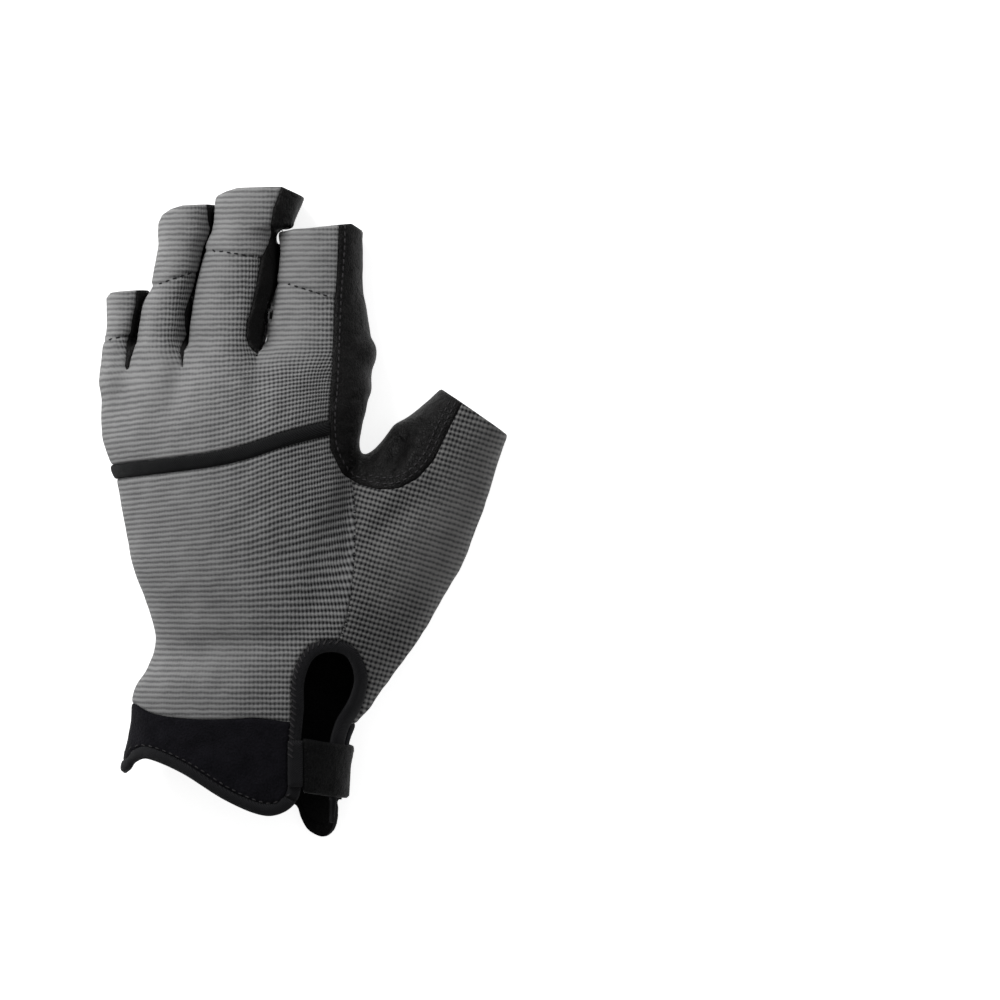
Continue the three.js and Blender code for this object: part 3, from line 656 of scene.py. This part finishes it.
# Each strip between two fingers: the fingers' axes, the edge and the slit that its upper part lies between,
# and where that part ends past the slit
FOURCHETTES = dict(
    fourchette_little_ring=("little", "ring", LITTLE_SIDE_EDGE, LITTLE_SLIT, []),
    fourchette_ring_middle=("ring", "middle", RING_SIDE_EDGE, RING_SLIT, []),
    fourchette_middle_index=(
        "middle", "index", MIDDLE_SIDE_EDGE, MIDDLE_SLIT, MIDDLE_SLIT_END[-1:] + [(0.64, 1.6)]),
)


def fourchette(points, left, right, edge, slit, slit_end):
    """The low wall on both sides of a gap, and the strip that shows beside the left finger."""
    between = zone(points, FINGER_AXES[left] + FINGER_AXES[right][::-1])
    next_finger = smoothstep(slit_side(points, slit), -1, 1)
    low = PALM_SEAM_HEIGHT + (LOW_WALL_HEIGHT - PALM_SEAM_HEIGHT) * next_finger
    high = BACK_SEAM_HEIGHT + (FINGER_SEAM_HEIGHT - BACK_SEAM_HEIGHT) * next_finger
    wall = both(between, above(points, low), below(points, high))
    shown = zone(upright(points), edge + (slit + slit_end)[::-1])
    return either(wall, both(shown, above(points, PALM_SEAM_HEIGHT)))


take(None, past_tips)
take(None, past_thumb)
take(None, lambda p: both(above(p, BACK_SEAM_HEIGHT), past_cut(p)))
take(None, lambda p: both(below(p, BACK_SEAM_HEIGHT), -height_of(p, PALM_HEM)))
take("knuckle_tape", lambda p: both(
    TAPE_WIDTH / 2 - line_distance(p[:, 0], p[:, 1], smooth_line(KNUCKLE_LINE)), above(p, TAPE_END_HEIGHT),
    -index_side(p)))
take("keyhole_binding", lambda p: both(
    above(p, BACK_SEAM_HEIGHT), BINDING_WIDTH + past_cut(p), keyhole(p) + back_hem(p)))
take("back_hem_binding", lambda p: both(
    above(p, BACK_SEAM_HEIGHT), BINDING_WIDTH + past_cut(p), -right_of(p, SLIT_LEFT)))
take("palm_hem_binding", lambda p: either(
    both(below(p, BACK_SEAM_HEIGHT), BINDING_WIDTH - height_of(p, PALM_HEM)),
    both(right_of(p, SLIT_RIGHT), BINDING_WIDTH - height_of(p, PALM_HEM))))
take("cuff_back", lambda p: both(
    above(p, BACK_SEAM_HEIGHT), -height_of(p, WRIST_LINE), -right_of(p, SLIT_RIGHT)))
take("cuff_palm", lambda p: -height_of(p, WRIST_LINE))
take("index_side_panel", index_side)
take("thumb_panel", thumb)
for fourchette_name, sides in FOURCHETTES.items():
    take(fourchette_name, lambda p: fourchette(p, *sides))
take("back_fingers", lambda p: both(above(p, seam_height(p)), height_of(p, KNUCKLE_LINE)))
take("back_hand", lambda p: above(p, seam_height(p)))
take("palm_patch", lambda p: zone(p, PATCH_SEAM))
take("palm_upper", lambda p: zone(p, PALM_OVERLAP + MIDDLE_SLIT + [(0.29, 1.7), (-1.4, 1.7)]))
panels["palm_lower"] = skin


def strap_zone(points):
    line = place(STRAP_MIDDLE)
    ahead = (line[1] - line[0]) / np.linalg.norm(line[1] - line[0])
    line[0] = line[0] + ahead * STRAP_WIDTH / 2
    band = STRAP_WIDTH / 2 - line_distance(points[:, 0], points[:, 1], line)
    return both(band, either(below(points, BACK_SEAM_HEIGHT), right_of(points, STRAP_SEWN_END)))


def anchor_zone(points):
    band = ANCHOR_BAND
    return both(above(points, BACK_SEAM_HEIGHT), zone(points, [
        (band["left"], band["low"]), (STRAP_SEWN_END, band["low"]), (STRAP_SEWN_END, band["high"]),
        (band["left"], band["high"])]))


panels["wrist_strap"] = split(whole_skin, strap_zone(whole_skin[0]))[0]
panels["strap_anchor"] = split(whole_skin, anchor_zone(whole_skin[0]))[0]


def waves(points, size, seed):
    return np.array([noise.noise(Vector(p) / size + Vector((seed, 0, 0))) for p in points])


def wrinkles(points):
    """Small unevenness of the cloth, the same on both sides of a seam."""
    return 0.45 * waves(points, 11.0, 3.7) + 0.22 * waves(points, 4.6, 9.1)


# What a panel is made of: how far its face stands out (out), over what width its edge rounds (edge), how deep
# the edge rolls in (roll), and how far in its inner face lies (depth)
CLOTH = dict(out=0.0, edge=1.6, roll=0.65, depth=1.4)
LEATHER = dict(out=0.05, edge=1.1, roll=0.6, depth=1.4)
GUSSET = dict(out=0.3, edge=0.8, roll=0.5, depth=1.2)
TAPE = dict(out=0.85, edge=1.9, roll=1.0, depth=1.3)
BINDING = dict(out=0.55, edge=1.9, roll=1.1, depth=1.8)
STRAP = dict(out=1.7, edge=1.1, roll=0.8, depth=-0.35)
ANCHOR = dict(out=1.9, edge=1.6, roll=1.1, depth=-0.35)

SLOTS = dict(
    knuckle_tape="tape", keyhole_binding="binding", back_hem_binding="binding", palm_hem_binding="binding",
    cuff_back="cuff_cloth", cuff_palm="cuff_cloth", index_side_panel="side_leather", thumb_panel="knit",
    fourchette_little_ring="side_leather", fourchette_ring_middle="side_leather",
    fourchette_middle_index="side_leather", back_fingers="knit", back_hand="knit", palm_patch="palm_leather",
    palm_upper="palm_leather", palm_lower="palm_leather", wrist_strap="strap_leather", strap_anchor="binding",
)

MADE_OF_BY_SLOT = dict(
    tape=TAPE, binding=BINDING, cuff_cloth=CLOTH, knit=CLOTH, side_leather=GUSSET, palm_leather=LEATHER,
    strap_leather=STRAP,
)
MADE_OTHERWISE = dict(index_side_panel=LEATHER, strap_anchor=ANCHOR)


def in_frame(points):
    return (points + (WRIST_IN_FRAME[0], WRIST_IN_FRAME[1], 0)) * 0.001


# The knit: the slope of its rows round the thumb, and how openly it is stretched where it is closest. The
# openness rises towards the right side of each form, away from the light, and deepens the dark of the grooves
# there, so it carries painted shade as well as openness
THUMB_ROW_SLOPE = math.radians(17)
LIT_SIDE_OPENNESS_AND_SHADE = 0.12
HEM_CLOSING = 0.6
THUMB_CLOSING = 0.75
HALF_BACK = 30
FAR_LEFT = [(-3, 0.9), (-3, 1.7)]
FAR_RIGHT = [(3, 0.9), (3, 1.7)]
FINGER_SPANS = [
    (FAR_LEFT, LITTLE_SLIT), (LITTLE_SLIT, RING_SLIT), (RING_SLIT, MIDDLE_SLIT), (MIDDLE_SLIT, FAR_RIGHT)]


def thread_place(name, points):
    """Where each point lies along and across the knit's rows, in millimetres, and how open the knit is; the
    openness rises on the side of each form away from the light and so also paints shade into the grooves.
    """
    x, y, z = points.T
    if name == "thumb_panel":
        c, s = math.cos(THUMB_ROW_SLOPE), math.sin(THUMB_ROW_SLOPE)
        along, out = thumb_place(points)
        closed = smoothstep(out, -6, 16) * smoothstep(along, 20, 55)
        return np.stack([x * c - y * s, x * s + y * c, 1 - THUMB_CLOSING * closed], 1)
    share = y / PALM_LENGTH
    left, right, depth = columns(PALM_ROWS, share, (1, 2, 3))
    middle = (left + right) / 2 * HALF_WIDTH
    half = (right - left) / 2 * HALF_WIDTH
    drop = np.clip((x - middle) / HALF_BACK, -1, 1) * (depth * PALM_DEPTH - z)
    side = (x - middle) / half
    knuckle = smooth_line(KNUCKLE_LINE)
    rise = np.interp(x, knuckle[:, 0], knuckle[:, 1]) - knuckle[len(knuckle) // 2, 1]
    lean = smoothstep(share, 0.2, 0.62) * (1 - smoothstep(share, 0.8, 1.05))
    finger_side = np.zeros_like(x)
    finger_drop = np.zeros_like(x)
    for (rows, size, _), (low, high) in zip(FINGERS, FINGER_SPANS):
        at = (y - PALM_LENGTH) / size["reach"]
        across, width, crest = columns(rows, at, (1, 2, 3))
        aside = (x - across * HALF_WIDTH) / (width * size["width"] / 2)
        near = (slit_side(points, low) > 0) & (slit_side(points, high) < 0)
        finger_side = np.where(near, aside, finger_side)
        below_crest = crest * size["depth"] - z
        finger_drop = np.where(near, np.clip(aside * 1.5, -1, 1) * below_crest, finger_drop)
    on_finger = smoothstep(share, 0.92, 1.04)
    side = side + (finger_side - side) * on_finger
    along_row = x + drop + (finger_drop - drop) * on_finger
    # Painted shade: the grooves and holes of the knit are drawn darker from the lit left side of each form to
    # its shaded right side.
    openness_and_shade = LIT_SIDE_OPENNESS_AND_SHADE + (1 - LIT_SIDE_OPENNESS_AND_SHADE) * smoothstep(side, -0.45, 0.75)
    hem = smoothstep(by_finger(points, HEM_LINES), 0, 1.5)
    return np.stack([along_row, y - lean * rise, openness_and_shade * (1 - HEM_CLOSING * hem)], 1)


def hem_fold(points):
    """The doubled hem of a finger stands a little proud of the single cloth below its stitches."""
    past = by_finger(points, HEM_LINES)
    return 0.35 * smoothstep(past, -0.2, 1.0) - 0.3 * np.exp(-(past / 0.7) ** 2)


def build_panel(name, skin, kind):
    """A panel's outer face, its inner face and the rim between them."""
    base, faces = skin
    normal = unit(field_slope(base, 0.3))
    away = border_distance(base, faces)
    round_off = 1 - np.sqrt(1 - (1 - np.minimum(away / kind["edge"], 1)) ** 2)
    uneven = wrinkles(base)
    if kind in (STRAP, ANCHOR):
        uneven = np.maximum(uneven, 0) + 0.15 + 0.6 * (1 - smoothstep(base[:, 2], 3, BACK_SEAM_HEIGHT))
    if name == "back_fingers":
        uneven = uneven + hem_fold(base)
    outer = base + normal * (uneven + kind["out"] - kind["roll"] * round_off)[:, None]
    inner = base + normal * (np.minimum(uneven, 0.2) - kind["depth"] + 0.2 * round_off)[:, None]
    edge = border_edges(faces)
    count = len(base)
    rim = np.stack([edge[:, 1], edge[:, 0], edge[:, 0] + count, edge[:, 1] + count], 1)
    everything = np.vstack([outer, inner])
    everything[:, 2] = np.maximum(everything[:, 2], 0.05)
    loops = faces.tolist() + (faces[:, ::-1] + count).tolist() + rim.tolist()
    mesh = bpy.data.meshes.new(name)
    mesh.from_pydata(in_frame(everything).tolist(), [], loops)
    mesh.polygons.foreach_set("use_smooth", [True] * len(loops))
    inside = np.zeros(len(loops), int)
    inside[len(faces):2 * len(faces)] = 1
    mesh.polygons.foreach_set("material_index", inside.tolist())
    ends = np.empty(2 * len(mesh.edges), int)
    mesh.edges.foreach_get("vertices", ends)
    ends = np.sort(ends.reshape(-1, 2), axis=1)
    rims = np.sort(np.vstack([edge, edge + count]), axis=1)
    sharp = np.isin(ends[:, 0] * 2 * count + ends[:, 1], rims[:, 0] * 2 * count + rims[:, 1])
    mesh.attributes.new("sharp_edge", "BOOLEAN", "EDGE").data.foreach_set("value", sharp)
    threads = mesh.attributes.new("threads", "FLOAT_VECTOR", "POINT")
    placed = thread_place(name, base)
    threads.data.foreach_set("vector", np.vstack([placed, placed]).astype(np.float32).ravel())
    # The distance from the panel's edge, which lightens the leather near it.
    edge_tone = mesh.attributes.new("border", "FLOAT", "POINT")
    edge_tone.data.foreach_set("value", np.concatenate([away, away]).astype(np.float32))
    return mesh


# Materials
def material(name):
    """A new material, its node tree and its shader."""
    made = bpy.data.materials.new(name)
    made.use_nodes = True
    return made, made.node_tree, made.node_tree.nodes["Principled BSDF"]


def set_look(shader, roughness, gloss, sheen=0.0):
    for label, value in (("Roughness", roughness), ("Specular IOR Level", gloss), ("Sheen Weight", sheen)):
        shader.inputs[label].default_value = value


def math_node(tree, operation, first, second=None, third=None):
    node = tree.nodes.new("ShaderNodeMath")
    node.operation = operation
    for i, value in enumerate((first, second, third)):
        if value is None:
            continue
        if isinstance(value, (int, float)):
            node.inputs[i].default_value = value
        else:
            tree.links.new(value, node.inputs[i])
    return node.outputs[0]


def object_place(tree):
    return tree.nodes.new("ShaderNodeTexCoord").outputs["Object"]


def noise_node(tree, scale, detail=3.0):
    node = tree.nodes.new("ShaderNodeTexNoise")
    node.inputs["Scale"].default_value = scale
    node.inputs["Detail"].default_value = detail
    tree.links.new(object_place(tree), node.inputs["Vector"])
    return node.outputs["Fac"]


def ramp(tree, value, stops):
    node = tree.nodes.new("ShaderNodeValToRGB")
    elements = node.color_ramp.elements
    while len(elements) < len(stops):
        elements.new(0.5)
    for element, (stop, colour) in zip(elements, stops):
        element.position = stop
        element.color = (*colour, 1)
    tree.links.new(value, node.inputs[0])
    return node.outputs[0]


def bump(tree, height, distance, strength=1.0, under=None):
    node = tree.nodes.new("ShaderNodeBump")
    node.inputs["Distance"].default_value = distance
    node.inputs["Strength"].default_value = strength
    tree.links.new(height, node.inputs["Height"])
    if under is not None:
        tree.links.new(under, node.inputs["Normal"])
    return node.outputs[0]


ROW_PITCH = 1.75
COLUMN_PITCH = 1.4


def wave(tree, value, pitch):
    """From 0 on a rib to 1 in the groove between two ribs."""
    turned = math_node(tree, "MULTIPLY", value, 2 * math.pi / pitch)
    return math_node(tree, "MULTIPLY_ADD", math_node(tree, "COSINE", turned), -0.5, 0.5)


def knit_material(name, groove, shade, rib):
    made, tree, shader = material(name)
    attribute = tree.nodes.new("ShaderNodeAttribute")
    attribute.attribute_name = "threads"
    parted = tree.nodes.new("ShaderNodeSeparateXYZ")
    tree.links.new(attribute.outputs["Vector"], parted.inputs[0])
    drift = math_node(tree, "MULTIPLY_ADD", noise_node(tree, 320.0, 2.0), 0.6, -0.3)
    u = math_node(tree, "ADD", parted.outputs[0], drift)
    v = math_node(tree, "ADD", parted.outputs[1], drift)
    openness_and_shade = parted.outputs[2]
    # The grooves between the ribs and the holes where they cross are painted darker: partly the dark inside
    # seen between the yarns, partly painted shade in the recesses of the knit.
    between_rows = math_node(tree, "POWER", wave(tree, v, ROW_PITCH), 1.25)
    between_columns = math_node(tree, "POWER", wave(tree, u, COLUMN_PITCH), 1.5)
    hole = math_node(tree, "MULTIPLY", between_rows, between_columns)
    columns = math_node(tree, "MULTIPLY", between_columns, math_node(tree, "MULTIPLY", openness_and_shade, 0.26))
    holes = math_node(tree, "MULTIPLY", hole, math_node(tree, "MULTIPLY", openness_and_shade, 0.3))
    row_depth = math_node(tree, "MULTIPLY_ADD", openness_and_shade, 0.18, 0.31)
    dark = math_node(tree, "MULTIPLY_ADD", between_rows, row_depth, columns)
    dark = math_node(tree, "ADD", dark, holes)
    fibre = noise_node(tree, 2800.0, 3.0)
    patch = noise_node(tree, 130.0, 4.0)
    tone = math_node(tree, "MULTIPLY_ADD", fibre, -0.34, 1.06)
    tone = math_node(tree, "MULTIPLY_ADD", patch, 0.3, tone)
    tone = math_node(tree, "SUBTRACT", tone, dark)
    colour = ramp(tree, tone, [(0.12, groove), (0.62, shade), (1.0, rib)])
    tree.links.new(colour, shader.inputs["Base Color"])
    set_look(shader, 0.95, 0.08, 0.05)
    height = math_node(tree, "SUBTRACT", 1.0, dark)
    raised = bump(tree, height, 0.0006, 0.8)
    tree.links.new(bump(tree, fibre, 0.0002, 0.4, raised), shader.inputs["Normal"])
    return made


def leather_material(name, dark, light, roughness, gloss, grain=0.00012, creases=0.0005):
    made, tree, shader = material(name)
    cells = tree.nodes.new("ShaderNodeTexVoronoi")
    cells.feature = "DISTANCE_TO_EDGE"
    cells.inputs["Scale"].default_value = 1100.0
    tree.links.new(object_place(tree), cells.inputs["Vector"])
    pebble = math_node(tree, "MULTIPLY", cells.outputs["Distance"], 6.0)
    pebble = math_node(tree, "MINIMUM", pebble, 1.0)
    # The crease lines are painted darker as well as bumped: painted shade in the creases.
    crease = noise_node(tree, 160.0, 5.0)
    crease = math_node(tree, "ABSOLUTE", math_node(tree, "SUBTRACT", crease, 0.5))
    crease = math_node(tree, "MINIMUM", math_node(tree, "MULTIPLY", crease, 9.0), 1.0)
    patch = noise_node(tree, 45.0, 4.0)
    tone = math_node(tree, "MULTIPLY_ADD", crease, 0.25, math_node(tree, "MULTIPLY", patch, 0.75))
    # The leather is drawn lighter within a millimetre of each panel's edge.
    attribute = tree.nodes.new("ShaderNodeAttribute")
    attribute.attribute_name = "border"
    edge_tone = math_node(tree, "MINIMUM", attribute.outputs["Fac"], 1.0)
    edge_tone = math_node(tree, "SUBTRACT", 1.0, edge_tone)
    tone = math_node(tree, "MULTIPLY_ADD", edge_tone, 0.25, tone)
    tree.links.new(ramp(tree, tone, [(0.25, dark), (0.9, light)]), shader.inputs["Base Color"])
    rough = math_node(tree, "MULTIPLY_ADD", patch, 0.25, roughness - 0.12)
    set_look(shader, roughness, gloss)
    tree.links.new(rough, shader.inputs["Roughness"])
    first = bump(tree, crease, creases, 0.5)
    tree.links.new(bump(tree, pebble, grain, 0.8, first), shader.inputs["Normal"])
    return made


def twill_material(name, dark, light, pitch=0.75):
    made, tree, shader = material(name)
    parted = tree.nodes.new("ShaderNodeSeparateXYZ")
    tree.links.new(object_place(tree), parted.inputs[0])
    slant = math_node(tree, "ADD", parted.outputs[0], parted.outputs[1])
    slant = math_node(tree, "ADD", slant, parted.outputs[2])
    wale = math_node(tree, "SINE", math_node(tree, "MULTIPLY", slant, 2 * math.pi * 1000 / pitch))
    wale = math_node(tree, "MULTIPLY_ADD", wale, 0.5, 0.5)
    fibre = noise_node(tree, 3000.0, 2.0)
    tone = math_node(tree, "MULTIPLY_ADD", fibre, 0.5, math_node(tree, "MULTIPLY", wale, 0.6))
    tree.links.new(ramp(tree, tone, [(0.1, dark), (0.9, light)]), shader.inputs["Base Color"])
    set_look(shader, 0.85, 0.1, 0.03)
    tree.links.new(bump(tree, wale, 0.0002, 0.8), shader.inputs["Normal"])
    return made


def fleece_material(name, dark, light):
    made, tree, shader = material(name)
    curl = noise_node(tree, 1500.0, 4.0)
    patch = noise_node(tree, 180.0, 3.0)
    tone = math_node(tree, "MULTIPLY_ADD", patch, 0.5, math_node(tree, "MULTIPLY", curl, 0.6))
    tree.links.new(ramp(tree, tone, [(0.3, dark), (0.85, light)]), shader.inputs["Base Color"])
    set_look(shader, 1.0, 0.05, 0.03)
    rough = bump(tree, patch, 0.0006, 0.6)
    tree.links.new(bump(tree, curl, 0.0005, 0.9, rough), shader.inputs["Normal"])
    return made


def thread_material(name, dark, light):
    made, tree, shader = material(name)
    fibre = noise_node(tree, 4000.0, 2.0)
    tree.links.new(ramp(tree, fibre, [(0.3, dark), (0.7, light)]), shader.inputs["Base Color"])
    set_look(shader, 0.6, 0.2)
    tree.links.new(bump(tree, fibre, 0.0001, 0.6), shader.inputs["Normal"])
    return made


knit = knit_material("grey_knit", (0.008, 0.008, 0.009), (0.11, 0.11, 0.112), (0.262, 0.262, 0.262))
# The thumb's knit is the grey knit in darker colours: painted shade on the thumb's side that tilts away from
# the light.
shaded_thumb_knit = knit_material("shaded_thumb_knit", (0.005, 0.005, 0.006), (0.075, 0.075, 0.076), (0.185, 0.183, 0.18))
side_leather = leather_material("side_leather", (0.002, 0.002, 0.002), (0.0095, 0.009, 0.009), 0.5, 0.13)
palm_leather = leather_material("palm_leather", (0.006, 0.0065, 0.008), (0.024, 0.026, 0.032), 0.48, 0.2)
strap_leather = leather_material(
    "strap_leather", (0.0015, 0.0015, 0.0017), (0.005, 0.0052, 0.0054), 0.55, 0.08)
tape = twill_material("tape", (0.003, 0.003, 0.0035), (0.013, 0.0135, 0.014))
binding = twill_material("binding", (0.004, 0.004, 0.005), (0.02, 0.02, 0.022), 0.6)
cuff_cloth = fleece_material("cuff_cloth", (0.003, 0.003, 0.0038), (0.0125, 0.0118, 0.0155))
# The inner face of every panel is coloured near black.
dark_inner_face = fleece_material("dark_inner_face", (0.002, 0.002, 0.002), (0.008, 0.008, 0.008))
hem_thread = thread_material("hem_thread", (0.004, 0.004, 0.005), (0.02, 0.02, 0.022))
seam_thread = thread_material("seam_thread", (0.012, 0.011, 0.012), (0.05, 0.047, 0.05))
FINISHES = dict(
    knit=knit, side_leather=side_leather, palm_leather=palm_leather, strap_leather=strap_leather, tape=tape,
    binding=binding, cuff_cloth=cuff_cloth,
)

pieces = {}
for name, panel in panels.items():
    mesh = build_panel(name, panel, MADE_OTHERWISE.get(name, MADE_OF_BY_SLOT[SLOTS[name]]))
    piece = bpy.data.objects.new("dressed_" + name, mesh)
    bpy.context.scene.collection.objects.link(piece)
    # The thumb panel takes the darker knit with painted shade.
    mesh.materials.append(shaded_thumb_knit if name == "thumb_panel" else FINISHES[SLOTS[name]])
    mesh.materials.append(dark_inner_face)
    pieces[name] = piece
    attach(piece, "root")
    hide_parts(name)


# Stitches, laid on the finished panels
def outer_faces():
    spots, faces = [], []
    for piece in pieces.values():
        mesh = piece.data
        start = len(spots)
        spots.extend([v.co * 1000 for v in mesh.vertices])
        faces.extend([[start + i for i in p.vertices] for p in mesh.polygons])
    return BVHTree.FromPolygons(spots, faces)


surface = outer_faces()


def offset_line(line, by):
    """The line moved to the left of its own direction by that many millimetres."""
    ahead = np.gradient(line, axis=0)
    ahead /= np.linalg.norm(ahead, axis=1, keepdims=True)
    return line + np.stack([-ahead[:, 1], ahead[:, 0]], 1) * by


def capsule(rings=4, sides=6):
    """A thread's form, of length 2 and radius 1: its points and faces."""
    spots = [(-1, 0, 0)]
    for i in range(1, rings + 1):
        along = -math.cos(math.pi * i / (rings + 1))
        radius = math.sin(math.pi * i / (rings + 1)) ** 0.5
        turns = [2 * math.pi * k / sides for k in range(sides)]
        spots += [(along, radius * math.cos(t), radius * math.sin(t)) for t in turns]
    spots.append((1, 0, 0))
    last = len(spots) - 1
    faces = [(0, 1 + (k + 1) % sides, 1 + k) for k in range(sides)]
    for i in range(rings - 1):
        a, b = 1 + i * sides, 1 + (i + 1) * sides
        faces += [(a + k, a + (k + 1) % sides, b + (k + 1) % sides, b + k) for k in range(sides)]
    a = 1 + (rings - 1) * sides
    faces += [(last, a + k, a + (k + 1) % sides) for k in range(sides)]
    return np.array(spots), faces


THREAD, THREAD_FACES = capsule()
# How far along its line a stitch is aimed, from where its ray starts, and its middle's height in radii
LOOK_AHEAD = 0.3
OVER_GLOVE = 80
UNDER_GLOVE = -20
STITCH_RISE = 0.25
# The radius of the threads that show
THREAD_RADIUS = 0.28


def lay_stitches(name, rows, finish):
    """Lays stitches along lines, each sunk a little into what it lies on.

    A row gives the line, the pitch, a stitch's length, its turn from the line in degrees, whether it lies on
    top of the glove, and the thread's radius.
    """
    spots, faces = [], []
    for line, pitch, length, turn, on_top, radius in rows:
        steps = np.linalg.norm(np.diff(line, axis=0), axis=1)
        run = np.concatenate([[0], np.cumsum(steps)])
        for at in np.arange(pitch / 2, run[-1], pitch):
            x, y = (np.interp(at, run, line[:, i]) for i in (0, 1))
            before, after = (
                np.array([np.interp(at + step, run, line[:, i]) for i in (0, 1)])
                for step in (-LOOK_AHEAD, LOOK_AHEAD))
            ahead = after - before
            start = in_frame(np.array([[x, y, OVER_GLOVE if on_top else UNDER_GLOVE]]))[0] * 1000
            hit, normal, _, _ = surface.ray_cast(Vector(start), Vector((0, 0, -1 if on_top else 1)))
            if hit is None:
                continue
            if normal.z * (1 if on_top else -1) < 0:
                normal = -normal
            along = Vector((*ahead, 0))
            along = (along - along.dot(normal) * normal).normalized()
            along = Matrix.Rotation(math.radians(turn), 3, normal) @ along
            side = normal.cross(along)
            frame_of = np.array([along * (length / 2), side * radius, normal * radius])
            count = sum(len(s) for s in spots)
            spots.append(THREAD @ frame_of + np.array(hit + normal * radius * STITCH_RISE))
            faces += [[count + i for i in face] for face in THREAD_FACES]
    mesh = bpy.data.meshes.new(name)
    mesh.from_pydata((np.vstack(spots) * 0.001).tolist(), [], faces)
    mesh.polygons.foreach_set("use_smooth", [True] * len(faces))
    mesh.materials.append(finish)
    piece = bpy.data.objects.new(name, mesh)
    bpy.context.scene.collection.objects.link(piece)
    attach(piece, "root")


def between(line, low, high):
    """The part of a line between two shares of its length."""
    return line[int(low * (len(line) - 1)):int(high * (len(line) - 1)) + 1]


def straight(pairs, points=24):
    """Points on the straight line from the first pair to the last, just short of both."""
    a, b = place(pairs[:1] + pairs[-1:])
    return a + (b - a) * np.linspace(0.02, 0.98, points)[:, None]


index_seam = smooth_line(INDEX_SEAM)
lay_stitches("hem_stitches", [
    (straight(line), 2.5, 1.5, 0, True, THREAD_RADIUS) for line in HEM_LINES.values()
] + [(smooth_line(THUMB_BACK_SEAM), 1.9, 1.2, 90, True, 0.22)], hem_thread)
lay_stitches("index_stitches", [
    (between(offset_line(index_seam, 1.9), 0, 0.97), 2.3, 1.6, 0, True, THREAD_RADIUS),
    (between(offset_line(index_seam, 3.8), 0.55, 0.94), 2.3, 1.6, 0, True, THREAD_RADIUS),
], seam_thread)
lay_stitches("keyhole_stitches", [
    (between(offset_line(keyhole_outline, 3.4), 0.12, 0.5), 2.0, 2.4, 55, True, THREAD_RADIUS),
    (offset_line(smooth_line(BACK_HEM)[16:], 4.3), 2.4, 1.5, 0, True, 0.25),
], seam_thread)
strap_start, strap_end = place(STRAP_MIDDLE)
strap_line = strap_start + (strap_end - strap_start) * np.linspace(0.06, 0.68, 60)[:, None]
lay_stitches("strap_stitches", [
    (offset_line(strap_line, side * (STRAP_WIDTH / 2 - 1.8)), 2.5, 1.7, 0, False, THREAD_RADIUS)
    for side in (-1, 1)
], seam_thread)
lay_stitches("palm_stitches", [
    (offset_line(smooth_line(PALM_OVERLAP), by), 2.4, 1.6, 0, False, THREAD_RADIUS) for by in (1.3, 3.1)
] + [
    (offset_line(smooth_line(PATCH_SEAM[3:-1]), 1.4), 2.4, 1.6, 0, False, THREAD_RADIUS)
] + [
    (straight(line) - (0, by), 2.4, 1.6, 0, False, THREAD_RADIUS)
    for line in TIP_LINES.values() for by in (2.6, 4.4)
], seam_thread)

# Floor, light and camera
FLOOR_REACH = 3.0
floor_corners = [(x * FLOOR_REACH, y * FLOOR_REACH, 0) for x, y in ((-1, -1), (1, -1), (1, 1), (-1, 1))]
floor_mesh = bpy.data.meshes.new("floor")
floor_mesh.from_pydata(floor_corners, [], [(0, 1, 2, 3)])
floor = bpy.data.objects.new("floor", floor_mesh)
bpy.context.scene.collection.objects.link(floor)
PAPER_GLOW = 0.8
paper, tree, paper_shader = material("paper")
paper_shader.inputs["Roughness"].default_value = 0.9
speck = ramp(tree, noise_node(tree, 30.0), [(0.3, (0.88, 0.88, 0.88)), (0.7, (0.9, 0.9, 0.9))])
tree.links.new(speck, paper_shader.inputs["Base Color"])
paper_shader.inputs["Emission Color"].default_value = (1, 1, 1, 1)
paper_shader.inputs["Emission Strength"].default_value = PAPER_GLOW
floor_mesh.materials.append(paper)

world = bpy.data.worlds.new("studio")
bpy.context.scene.world = world
world.use_nodes = True
SKY_STRENGTH = 0.24
background = world.node_tree.nodes["Background"]
background.inputs["Color"].default_value = (1, 1, 1, 1)
background.inputs["Strength"].default_value = SKY_STRENGTH


def lamp(name, size, energy, spot, target):
    data = bpy.data.lights.new(name, "AREA")
    data.size = size
    data.energy = energy
    light = bpy.data.objects.new(name, data)
    light.location = spot
    light.rotation_euler = (Vector(target) - Vector(spot)).to_track_quat("-Z", "Y").to_euler()
    bpy.context.scene.collection.objects.link(light)


# A low lamp from the upper left draws the ribs and the folds, and a large one overhead fills the shade
lamp("key", size=0.3, energy=2.2, spot=(-0.26, 0.34, 0.30), target=(-0.02, 0.03, 0.02))
lamp("fill", size=1.6, energy=3, spot=(0.1, 0.1, 1.7), target=(0, 0, 0))

# The camera looks straight down, from where the glove lies in the picture as in the photograph
CAMERA_PLACE = (0.0644, 0.00366, 2.0)
CAMERA_LENS = 216.5
SENSOR_WIDTH = 36
CLIP_END = 20
camera_data = bpy.data.cameras.new("camera")
camera_data.lens = CAMERA_LENS
camera_data.sensor_width = SENSOR_WIDTH
camera_data.clip_end = CLIP_END
camera = bpy.data.objects.new("camera", camera_data)
camera.location = CAMERA_PLACE
bpy.context.scene.collection.objects.link(camera)
bpy.context.scene.camera = camera
bpy.context.scene.view_settings.view_transform = "Standard"
